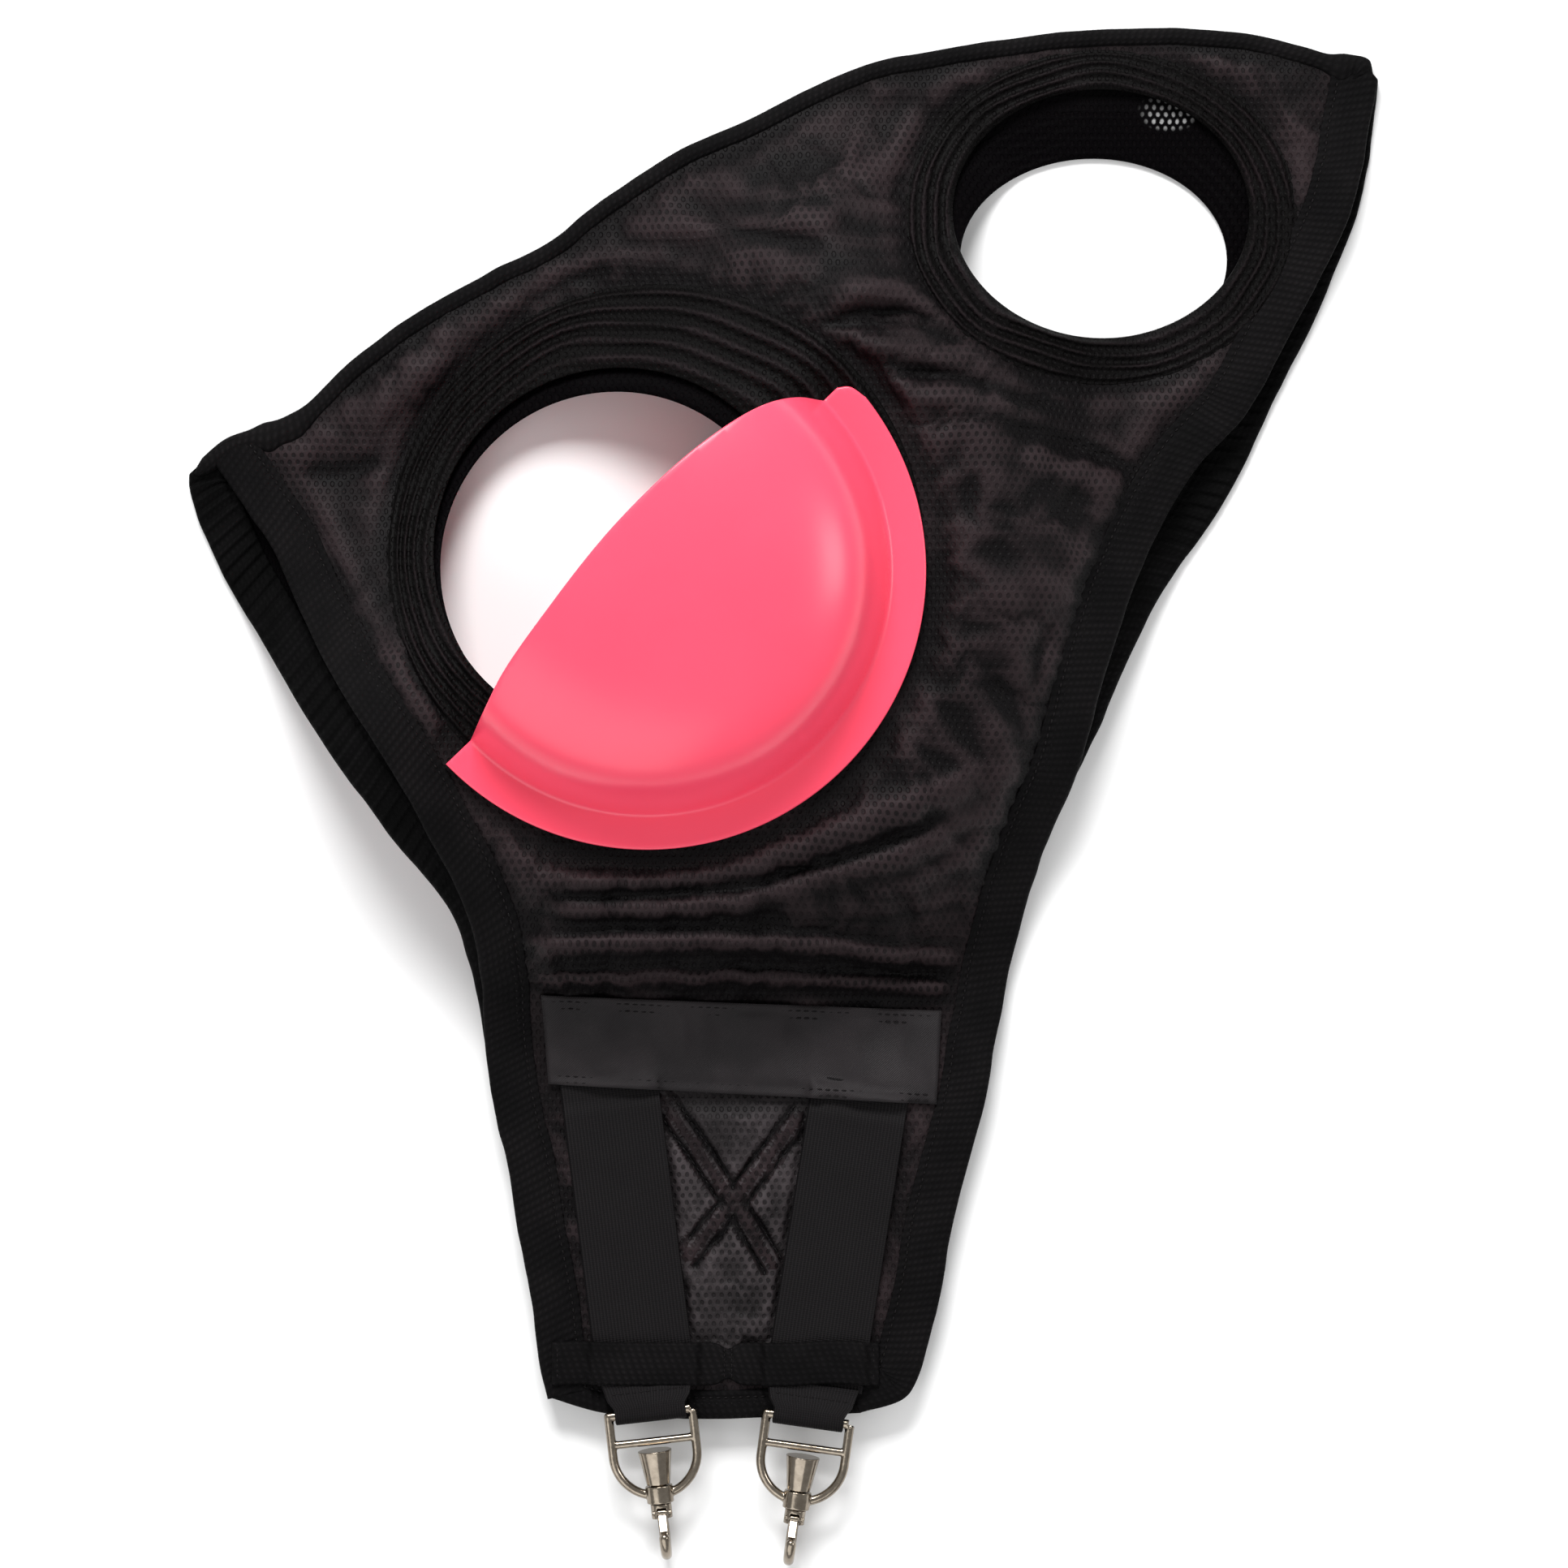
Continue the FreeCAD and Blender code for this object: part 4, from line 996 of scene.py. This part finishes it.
def crown_tape():
    """The seam along the crown: a narrow rounded roll that wanders a little."""
    line, run = line_through(CROWN + [FAR_CORNER], 0.8)
    left = left_of(line)
    sway = 0.35 * noise(run, run * 0, 19.0, 31) + 0.2 * noise(run, run * 0, 7.0, 32)
    fat = 1.0 + 0.10 * noise(run, run * 0, 11.0, 33)
    bunch = sum(bell(run - spot, 3.2) for spot in (5.0, 13.0, run[-1] - 26.0))
    bunch = bunch + 0.8 * bell(run - run[-1] + 33.0, 5.0)
    angles = np.linspace(0.0, 2 * math.pi, ROLL_SIDES, endpoint=False)
    radius = CROWN_TAPE / 2 + 0.4
    rings, uvs = [], []
    for point, way, s, shift, swell, lump in zip(line, left, run, sway, fat, bunch):
        end = min(1.0, math.sqrt(max(0.05, min(s, run[-1] - s) / 5.0)))
        reach = radius * end * (1.0 + 0.7 * lump)
        t = radius + shift + 1.2 * lump + np.cos(angles) * reach
        x, y = point[0] + way[0] * t, point[1] + way[1] * t
        wrap = np.sign(np.sin(angles)) * np.abs(np.sin(angles)) ** 0.7
        z = drape(x, y) + 2.0 + wrap * 2.8 * swell * end * (1.0 + 0.25 * lump)
        rings.append(np.column_stack([x, y, np.maximum(z, FLOOR_CLEAR)]))
        uvs.append(np.column_stack([np.full(ROLL_SIDES, s), angles * 2.6]))
    return tube("crown_seam_roll", rings, uvs, RIB)


crown = done(crown_tape(), "hood", "rib_binding", "crown_seam_tape")


# ---------------------------------------------------------------- padded rims
RIM_TURNS = 420


def rim(name, oval, low, high, side, ridges, ridge_high, crowd, seed):
    """A padded, quilted rim round an opening: raised cords between rings of stitching."""
    (ix, iy, ia, ib), (ox, oy, oa, ob) = oval
    up = side == "near"
    base = near_drape if up else drape
    angle = np.linspace(0.0, 2 * math.pi, RIM_TURNS, endpoint=False)
    t = np.concatenate([[0.0, 0.006, 0.02], np.linspace(0.04, 0.97, 76), [0.985, 1.0]])
    rings, shades_and_tones = [], []
    wander = noise(np.cos(angle) * 60, np.sin(angle) * 60, 22.0, seed)
    full = 0.75 + 0.35 * noise(np.cos(angle) * 60, np.sin(angle) * 60, 31.0, seed + 5)
    for a, drift, strength in zip(angle, wander, full):
        inner = np.array([ix + ia * math.cos(a), iy + ib * math.sin(a)])
        outer = np.array([ox + oa * math.cos(a), oy + ob * math.sin(a)])
        span = np.hypot(*(outer - inner))
        x, y = (inner + (outer - inner) * t[:, None]).T
        edge_in = np.clip(t * span / 1.6, 0, 1)
        edge_out = np.clip((1 - t) * span / 3.5, 0, 1)
        swell = rounded(edge_in) * (0.2 + 0.8 * smooth(edge_out))
        phase = ridges * (t ** crowd + 0.11 * drift * t * (1 - t) * 4)
        cord = bell(phase % 1.0 - 0.5, 0.25)
        quilt = ridge_high * (cord - 0.15) * smooth(edge_in * 2) * smooth(edge_out * 1.5)
        quilt = quilt * strength * (0.8 + 0.3 * noise(phase, t * 0 + a * 7.0, 1.0, seed + 9))
        quilted = (high - low) / 2 * swell + quilt
        level = (high - low) / 2 * rounded(edge_in)
        rings.append(ring_about(x, y, quilted, -level) if up else ring_about(x, y, level, -quilted))
        # Painted shade and highlight for the quilting: lighter on the cords' crests, darker in the
        # stitched grooves.
        shade_and_tone = 1.5 * (quilt / ridge_high * 2.0 - 0.7)
        shades_and_tones.append(np.concatenate([shade_and_tone, shade_and_tone[-2:0:-1]]))
    rings = laid_on(base, np.array(rings), (low + high) / 2)
    faces = grid_faces(RIM_TURNS, rings.shape[1], ring_rows=True, ring_columns=True)
    points = rings.reshape(-1, 3)
    obj = make_mesh(name, points, faces, points[:, :2], RIM if up else SHADED_FAR_MESH)
    store(obj, "painted_fold_shade", np.ravel(shades_and_tones))
    return face_outwards(obj)


for side, eye, ear, low, high in (("near", NEAR_EYE, NEAR_EAR, 2.6, 4.4),
                                  ("far", FAR_EYE, FAR_EAR, -0.6, 1.2)):
    for hole, oval, quilting in (("eye", eye, (5, 2.1, 1.15, 41)), ("ear", ear, (4, 1.7, 1.0, 42))):
        padding = rim("%s_%s_padding" % (side, hole), oval, low, high, side, *quilting)
        done(padding, "hood", "padded_rim", "%s_%s_rim" % (side, hole))


# ---------------------------------------------------------------- flat pieces sewn on the flap
def slab(name, corners, bottom, top, material, relief=None, step=1.1, edge=0.9):
    """A thin cloth piece with soft edges over four plan corners, given round the piece."""
    c = np.array(corners, float)
    long = (np.hypot(*(c[1] - c[0])) + np.hypot(*(c[2] - c[3]))) / 2
    tall = (np.hypot(*(c[3] - c[0])) + np.hypot(*(c[2] - c[1]))) / 2
    u = np.linspace(0.0, 1.0, max(3, int(long / step)))
    v = np.linspace(0.0, 1.0, max(3, int(tall / step)))
    uu, vv = np.meshgrid(u, v, indexing="ij")
    shares = ((1 - uu) * (1 - vv), uu * (1 - vv), uu * vv, (1 - uu) * vv)
    x, y = (sum(corner[i] * share for corner, share in zip(c, shares)) for i in (0, 1))
    near_edge = np.minimum(np.minimum(uu, 1 - uu) * long, np.minimum(vv, 1 - vv) * tall)
    soft = np.sqrt(np.clip(near_edge / edge, 0.02, 1))
    middle, half = (bottom + top) / 2, (top - bottom) / 2
    lift = relief(x, y, uu * long, vv * tall) if relief else 0.0
    upper = drape(x, y) + (middle + half * soft + lift)
    lower = drape(x, y) + (middle - half * soft + lift * 0.9)
    rows, columns = uu.shape
    count = rows * columns
    points = np.vstack([np.column_stack([x.ravel(), y.ravel(), z.ravel()]) for z in (upper, lower)])
    faces = grid_faces(rows, columns)
    faces += [tuple(count + k for k in reversed(f)) for f in grid_faces(rows, columns)]
    ring = ([(i, 0) for i in range(rows)] + [(rows - 1, j) for j in range(1, columns)]
            + [(i, columns - 1) for i in range(rows - 2, -1, -1)]
            + [(0, j) for j in range(columns - 2, 0, -1)])
    ring = [i * columns + j for i, j in ring]
    for k, p in enumerate(ring):
        q = ring[(k + 1) % len(ring)]
        faces.append((p, q, q + count, p + count))
    uvs = np.column_stack([(uu * long).ravel(), (vv * tall).ravel()])
    return face_outwards(make_mesh(name, points, faces, np.vstack([uvs, uvs]), material))


OVER_STRAP = 2.1


def over_straps(x, y):
    """1 where the band passes over the upper end of a strap."""
    found = np.zeros(np.shape(x))
    for strap_place in STRAPS.values():
        off, along = on_strap(x, y, strap_place)
        held = smooth((STRAP_WIDE / 2 + 1.5 - off) / 2.0)
        strap_top = TONGUE + strap_place[-1] + STRAP_TUCK
        found = np.maximum(found, held * smooth((strap_top - along) / 4.0))
    return found


def band_relief(x, y, u, v):
    """Soft upright waves across the band, flatter where it is stitched."""
    waves = 1.1 * noise(u, v * 0.25, 8.5, 51) + 0.5 * noise(u, v * 0.4, 4.0, 52)
    held = 1.0 - 0.8 * bell(v - 1.8, 1.6) - 0.8 * bell(v - 24.5, 1.6)
    return np.maximum(waves + 0.5, -0.3) * np.clip(held, 0, 1) + OVER_STRAP * over_straps(x, y)


def band(name, side):
    """The woven band that the straps' upper ends are sewn under."""
    if side == "near":
        obj = slab(name, BAND, 3.8, 5.1, TAPE, band_relief)
        face, over, thread_high = 5.15, OVER_STRAP, 0.28
    else:
        obj = slab(name, BAND, -1.2, 0.0, TAPE)
        face, over, thread_high = -1.2, 0.0, 0.2
    rows = []
    c = np.array(BAND, float)
    for share in (0.06, 0.14, 0.90, 0.97):
        start = c[0] + (c[3] - c[0]) * share
        end = c[1] + (c[2] - c[1]) * share
        line = start + (end - start) * np.linspace(0.02, 0.98, 90)[:, None]
        height = drape(*line.T) + face + over * over_straps(*line.T)
        rows.append(stitch_row(line, height, 2.4, 1.5, thread_high))
    return join(obj, rows)


near_band = done(band("near_band_tape", "near"), "hood", "woven_tape", "near_strap_band")
far_band = done(band("far_band_tape", "far"), "hood", "woven_tape", "far_strap_band")
hook_patch = slab("hook_patch_tape", [(-38, -88), (8, -88), (8, -142), (-38, -142)], 1.6, 2.6,
                  HOOKS, step=2.0)
done(hook_patch, "hood", "hook_tape", "hook_patch")
loop_patch = slab("loop_patch_tape", [(-39, -98), (9, -98), (9, -168), (-39, -168)], -1.35, 0.0,
                  LOOPS, step=2.0)
done(loop_patch, "hood", "loop_tape", "loop_patch")

cross_rows = []
for arm_x, arm_y in CROSS_ARMS:
    start, end = np.array(CROSS), np.array([arm_x, arm_y], float)
    way = (end - start) / np.hypot(*(end - start))
    for offset in (-3.1, 3.1):
        shifted = start + way * 3.0 + np.array([-way[1], way[0]]) * offset
        line = shifted + (end - start - way * 3.0) * np.linspace(0, 1, 40)[:, None]
        heights = drape(*line.T) + 3.7 + cross_height(*line.T)
        cross_rows.append(stitch_row(line, heights, 2.4, 1.5, 0.25))
cross = join(cross_rows[0], cross_rows[1:])
cross.name = "cross_stitching"
done(cross, "hood", "mesh_cloth")


# ---------------------------------------------------------------- moulded cups
DOME = [(71.6, 2.2), (71.0, 2.8), (70.2, 4.5), (68.6, 9.0), (66.9, 14.0), (65.0, 18.5), (62.6, 22.6),
        (59.2, 26.0), (54.0, 29.2), (46.0, 32.4), (34.0, 35.4), (18.0, 37.4), (0.0, 38.0)]
FREE_EDGE = [(71.5, 0), (66.7, 5.5), (57, 10.9), (35.2, 15.1), (2, 15.3), (-32.8, 10.6), (-51, 7),
             (-61, 3.65), (-71.5, 0)]
FLANGE_END = (77.0, 0.0)
LIP = 0.45
WALL = 2.0
SHELL_ENDS = 69.4
# Radii of the circles of points: first, limit and step on the crown, the shoulder and the flange.
CUP_STATIONS = [(1.5, 54.0, 1.7), (54.4, 73.0, 0.62), (74.0, 80.8, 1.5)]


def cup_loop():
    """The cup's plan: round the rear, then back along the free edge, as an even closed loop."""
    rear = np.radians(np.linspace(180.0, 354.5, 200))
    rear = CUP_RADIUS * np.column_stack([np.cos(rear), np.sin(rear)])
    corner = line_through([rear[-1], (79.9, -2.4), FLANGE_END], 0.6)[0]
    ledge = line_through([FLANGE_END, FREE_EDGE[0]], 0.8)[0]
    free = line_through(FREE_EDGE, 0.8)[0]
    back = line_through([FREE_EDGE[-1], (-CUP_RADIUS, 0)], 0.8)[0]
    loop = np.vstack([part[:-1] for part in (rear, corner, ledge, free, back)])
    way = np.roll(loop, -1, axis=0) - np.roll(loop, 1, axis=0)
    way /= np.hypot(way[:, 0], way[:, 1])[:, None]
    return loop, np.column_stack([way[:, 1], -way[:, 0]])


def cup(name, flip, base_z):
    """Half of a shouldered dome on a flange, with a rounded lip all round."""
    loop, away = cup_loop()
    outer, _ = line_through(DOME, 0.3)
    inward = left_of(outer)
    inner = outer + inward * WALL
    inner[:, 1] = np.maximum(inner[:, 1], 0.0)
    order_out, order_in = np.argsort(outer[:, 0]), np.argsort(inner[:, 0])
    edge = loop - away * LIP
    circles = []
    for r in np.concatenate([np.arange(*stations) for stations in CUP_STATIONS]):
        a = np.linspace(0.0, 2 * math.pi, int(2 * math.pi * r / 1.5) + 6, endpoint=False)
        circles.append(np.column_stack([r * np.cos(a), r * np.sin(a)]))
    rest = np.vstack(circles)
    rest = rest[inside(rest, edge)]
    rest = rest[distance_to(rest, edge) > 0.55]
    flat = np.vstack([edge, rest])
    ring = [(k, (k + 1) % len(edge)) for k in range(len(edge))]
    placed, _, faces, origin, _, _ = delaunay_2d_cdt([Vector(p) for p in flat.tolist()], ring, [],
                                                     1, 1e-6)
    plan = np.array([tuple(p) for p in placed])
    number = {k: i for i, found in enumerate(origin) for k in found}
    far_out = np.hypot(plan[:, 0], plan[:, 1])
    top = np.interp(far_out, outer[order_out, 0], outer[order_out, 1])
    under = np.interp(far_out, inner[order_in, 0], inner[order_in, 1])
    under = np.where(far_out > SHELL_ENDS, 0.0, under)
    under = np.maximum(np.minimum(under, top - 1.6), 0.0)
    count = len(plan)
    points = [*np.column_stack([plan, top]), *np.column_stack([plan, under])]
    faces = [tuple(f) for f in faces] + [tuple(count + k for k in reversed(f)) for f in faces]
    rim_top = [number[k] for k in range(len(edge))]
    strips = [rim_top]
    for share, reach in ((0.07, 0.32), (0.22, LIP), (0.78, LIP), (0.93, 0.32)):
        start = len(points)
        for k, i in enumerate(rim_top):
            z = top[i] * (1 - share) + under[i] * share
            points.append(np.array([*(edge[k] + away[k] * reach), z]))
        strips.append([start + k for k in range(len(edge))])
    strips.append([count + k for k in rim_top])
    for upper, lower in zip(strips, strips[1:]):
        for k in range(len(edge)):
            m = (k + 1) % len(edge)
            faces.append((upper[k], lower[k], lower[m], upper[m]))
    p = np.array(points)
    c, s = math.cos(CUP_TURN), math.sin(CUP_TURN)
    solid = np.column_stack([CUP_X + c * p[:, 0] - s * p[:, 1], CUP_Y + s * p[:, 0] + c * p[:, 1],
                             base_z + flip * p[:, 2]])
    return face_outwards(make_mesh(name, solid, faces, solid[:, :2], PLASTIC))


done(cup("near_half_cup", 1.0, 43.5), "hood", "cup_plastic", "near_cup")
done(cup("far_half_cup", -1.0, 38.0), "hood", "cup_plastic", "far_cup")


# ---------------------------------------------------------------- straps, loops and keeper
def turned(x, y, centre, degrees):
    """Plan points turned about the frame's upright and moved to a centre."""
    c, s = math.cos(math.radians(degrees)), math.sin(math.radians(degrees))
    return centre[0] + c * x - s * y, centre[1] + s * x + c * y


def strap_section(wide, thick):
    """A ribbed flat section: x across, z up, as a closed ring of points."""
    x = np.linspace(-wide / 2, wide / 2, int(wide * 6))
    cords = 0.09 * np.abs(np.sin(math.pi * (x + wide / 2)))
    edge = np.clip((wide / 2 - np.abs(x)) / 0.7, 0, 1)
    half = (thick / 2) * rounded(edge) + cords * edge - 0.04
    half[0] = half[-1] = 0.02
    return np.concatenate([x, x[::-1]]), np.concatenate([half, -half[::-1]])


def folded_web(name, path, step, section, widths, place):
    """Webbing folded along a path of (along, up) points: place() puts it in plan."""
    line, run = line_through(path, step)
    across, half = section
    rings, uvs = [], []
    for (y, z), (way_y, way_z), s, share in zip(line, left_of(line), run, widths(run)):
        px, py = place(across * share, y + way_y * half)
        rings.append(np.column_stack([px, py, z + way_z * half]))
        uvs.append(np.column_stack([across, np.full(len(across), s)]))
    return tube(name, rings, uvs, ELASTIC)


def half_turn(radius, first, last, count):
    """Points of a half circle about the bar, from one angle to another."""
    angle = np.radians(np.linspace(first, last, count))
    return [(math.cos(a) * radius, math.sin(a) * radius) for a in angle]


def strap(side):
    """The elastic strap from the band to the folded end."""
    bar_x, bar_y, turn, _, long = STRAPS[side]
    section_x, section_z = strap_section(STRAP_WIDE, STRAP_THICK)
    along = np.linspace(TONGUE + 0.2, TONGUE + long + STRAP_TUCK, 84)
    rings, uvs = [], []
    for y in along:
        x, py = turned(section_x, np.full(len(section_x), y), (bar_x, bar_y), turn)
        wave = 0.30 * noise(x / 2.5, py, 14.0, 61) + 0.15
        pull = 0.4 * smooth((y - 60.0) / 25.0) * np.cos(section_x / 3.2)
        tucked = smooth((y - TONGUE - long + 4.0) / 4.0)
        z = STRAP_BASE + STRAP_THICK / 2 + section_z + (wave * 0.7 + pull * 0.25) * (1 - tucked)
        rings.append(np.column_stack([x, py, z - tucked]))
        uvs.append(np.column_stack([section_x, np.full(len(section_x), y)]))
    obj = tube(side + "_elastic_web", rings, uvs, ELASTIC)
    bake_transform(obj)
    return done(obj, None, "elastic_web", side + "_elastic_strap")


def strap_loop(side):
    """The end of the strap, folded over the bar and back on itself."""
    bar_x, bar_y, _, turn, _ = STRAPS[side]
    low, high = BAR_Z - LOOP_OUTER, BAR_Z + LOOP_OUTER
    path = [(TONGUE - 0.1, low + 0.7), (6.0, low + 0.7), (2.0, low + 0.7)]
    path += [(y, BAR_Z + z) for y, z in half_turn(LOOP_OUTER - 0.65, -90, -270, 15)]
    path += [(2.2, high - 0.85), (4.6, high - 1.7), (6.6, high - 2.6), (8.2, high - 3.3),
             (10.2, high - 3.5)]

    def widths(run):
        """The fold is gathered round the bar and spreads towards both ends."""
        at = [0, 5.5, 8.0, 17.8, 20.5, run[-1]]
        return np.interp(run, at, [25.4, 23.2, 21.0, 21.0, 24.6, 27.4]) / STRAP_WIDE

    obj = folded_web(side + "_folded_end", path, 0.35, strap_section(STRAP_WIDE, LOOP_THICK), widths,
                     lambda x, y: turned(x, y, (bar_x, bar_y), turn))
    across = np.linspace(-11.0, 11.0, 40)
    seam = np.column_stack(turned(across, np.full(40, 6.4), (bar_x, bar_y), turn))
    seam = stitch_row(seam, high - 1.9, 2.0, 1.4, 0.3)
    return done(join(obj, [seam]), side + "_strap_end", "elastic_web", side + "_strap_loop")


for side in STRAPS:
    strap(side)
    strap_loop(side)


KEEPER_LEFT, KEEPER_RIGHT, KEEPER_Y = -68.5, 28.0, -167.0
KEEPER_WIDE = 12.8
KEEPER_HALF = 0.62
KEEPER_RISE = 2.45


def keeper():
    """The knit band over both straps, tacked down between them and at its ends."""
    x = np.linspace(KEEPER_LEFT, KEEPER_RIGHT, 260)
    raised = np.zeros(len(x))
    for left, right in ((-57.6, -24.8), (-6.6, 25.0)):
        raised = np.maximum(raised, smooth((x - left + 1.0) / 2.6) * smooth((right + 1.0 - x) / 2.6))
    ends = np.sqrt(np.clip(np.minimum(x - KEEPER_LEFT, KEEPER_RIGHT - x) / 2.0, 0.03, 1))
    v = np.linspace(0, 1, 26)
    rings, uvs = [], []
    for px, over, end, tack in zip(x, raised, ends, bell(x + 16.5, 2.6)):
        width = KEEPER_WIDE * (1.0 - 0.30 * tack)
        y = KEEPER_Y + 0.5 * noise(px, 0.0, 15.0, 71) + (v - 0.5) * width
        thick = KEEPER_HALF * rounded(np.clip(np.minimum(v, 1 - v) * width, 0, 1)) * end
        puff = 0.55 * np.sin(math.pi * v) + 0.25 * noise(px + v * 0, v * KEEPER_WIDE, 4.0, 72)
        z = STRAP_BASE + KEEPER_RISE * over + 0.6 + puff * (1.0 - 0.8 * tack) * end
        rings.append(ring_about(px + v * 0, y, z + thick, z - thick))
        uvs.append(ring_uv(px, v * KEEPER_WIDE))
    obj = tube("keeper_band", rings, uvs, RIB)
    rows = []
    for px, height in ((-66.8, 10.9), (-17.6, 10.95), (-15.4, 10.95), (26.4, 10.9)):
        line = np.column_stack([np.full(12, px), np.linspace(-171.5, -162.5, 12)])
        rows.append(stitch_row(line, height, 1.5, 1.1, 0.3))
    return join(obj, rows)


keeper_band = done(keeper(), "hood", "rib_binding", "strap_keeper")


# ---------------------------------------------------------------- cast hardware
def cast(node, body, voxel, smoothing):
    """A casting with rounded transitions, made from the node's own shape."""
    obj = bpy.data.objects.new(node + "_casting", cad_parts[node].data.copy())
    scene.collection.objects.link(obj)
    obj.data.materials.clear()
    remesh = obj.modifiers.new("remesh", "REMESH")
    remesh.mode = "VOXEL"
    remesh.voxel_size = voxel * MM
    soften = obj.modifiers.new("soften", "SMOOTH")
    soften.factor = 0.5
    soften.iterations = smoothing
    shaped = bpy.data.meshes.new_from_object(obj.evaluated_get(
        bpy.context.evaluated_depsgraph_get()))
    obj.modifiers.clear()
    obj.data = shaped
    shaped.polygons.foreach_set("use_smooth", [True] * len(shaped.polygons))
    shaped.materials.clear()
    shaped.materials.append(NICKEL)
    return done(obj, body, "nickel", node)


def keep_metal(node):
    """A CAD node that is shown as it is, with its plating."""
    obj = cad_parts[node]
    obj.data.materials.clear()
    obj.data.materials.append(NICKEL)
    return obj


# Each casting: its node, its body, the size of the remesh's cells and how often it is smoothed.
CASTINGS = [("snap_eye", "eye", 0.22, 4), ("snap_hook", "hook", 0.18, 4),
            ("snap_gate", "gate", 0.12, 3), ("d_ring", "ring", 0.22, 3)]
for side in STRAPS:
    for node, body, voxel, smoothing in CASTINGS:
        cast("%s_%s" % (side, node), "%s_%s" % (side, body), voxel, smoothing)
    keep_metal(side + "_gate_rivet")


TAB_Y, TAB_Z = -105.0, 2.5
TAB_OUTER = 2.3


def ring_tab(side, ring_x):
    """A folded webbing tab round the bar of a ring on the far side."""
    low, high = TAB_Z - TAB_OUTER, TAB_Z + TAB_OUTER
    path = [(14.0, high - 0.7), (8.0, high - 0.7), (2.0, high - 0.7)]
    path += [(y, TAB_Z + z) for y, z in half_turn(TAB_OUTER - 0.6, 90, 270, 13)]
    path += [(2.0, low + 0.65), (5.0, low + 1.3), (8.0, TAB_Z + 0.15), (12.6, TAB_Z + 0.25)]
    obj = folded_web(side + "_tab_web", path, 0.4, strap_section(18.0, 1.0), np.ones_like,
                     lambda x, y: (ring_x + x, TAB_Y + y))
    return done(obj, "hood", "elastic_web", side + "_ring_tab")


for side, ring_x in (("left", -53.8), ("right", 23.8)):
    ring_tab(side, ring_x)


# ---------------------------------------------------------------- floor, light and camera
FLOOR_HALF = 4000.0
FLOOR_Z = -0.4
WORLD_LIGHT = 0.42


def floor():
    """A pale plain floor with a faint mottle."""
    corners = ((-1, -1), (1, -1), (1, 1), (-1, 1))
    obj = make_mesh("floor", [(x * FLOOR_HALF, y * FLOOR_HALF, FLOOR_Z) for x, y in corners],
                    [(0, 1, 2, 3)])
    look = Look("floor_paint", "Object")
    mottle = look.noise(3.0, 2.0)
    look.set(Base_Color=look.mix(mottle, (0.90, 0.90, 0.90), (0.93, 0.93, 0.93)), Roughness=0.9)
    obj.data.materials.append(look.material)


def soft_box(name, place, wide, tall, power):
    """A large soft light that faces the object."""
    data = bpy.data.lights.new(name, "AREA")
    data.shape = "RECTANGLE"
    data.size, data.size_y = wide, tall
    data.energy = power
    obj = bpy.data.objects.new(name, data)
    obj.location = place
    obj.rotation_euler = (-Vector(place)).to_track_quat("-Z", "Y").to_euler()
    scene.collection.objects.link(obj)


floor()
soft_box("key", (-0.25, 1.55, 1.35), 1.0, 0.7, 54.0)
soft_box("side", (1.5, 0.2, 1.1), 0.6, 0.6, 7.0)
soft_box("fill", (-0.7, -1.5, 1.5), 2.6, 1.8, 24.0)
world = bpy.data.worlds.new("studio")
world.use_nodes = True
backdrop = world.node_tree.nodes["Background"]
backdrop.inputs[0].default_value = (1.0, 1.0, 1.0, 1.0)
backdrop.inputs[1].default_value = WORLD_LIGHT
scene.world = world

CAMERA_AWAY = 3.5
CAMERA_SENSOR = 36.0
FRAME_WIDE = 0.4637
camera = bpy.data.cameras.new("camera")
camera.sensor_width = CAMERA_SENSOR
camera.lens = CAMERA_SENSOR * CAMERA_AWAY / FRAME_WIDE
camera.clip_end = 20.0
viewer = bpy.data.objects.new("camera", camera)
viewer.location = (0.0, 0.0037, CAMERA_AWAY)
scene.collection.objects.link(viewer)
scene.camera = viewer
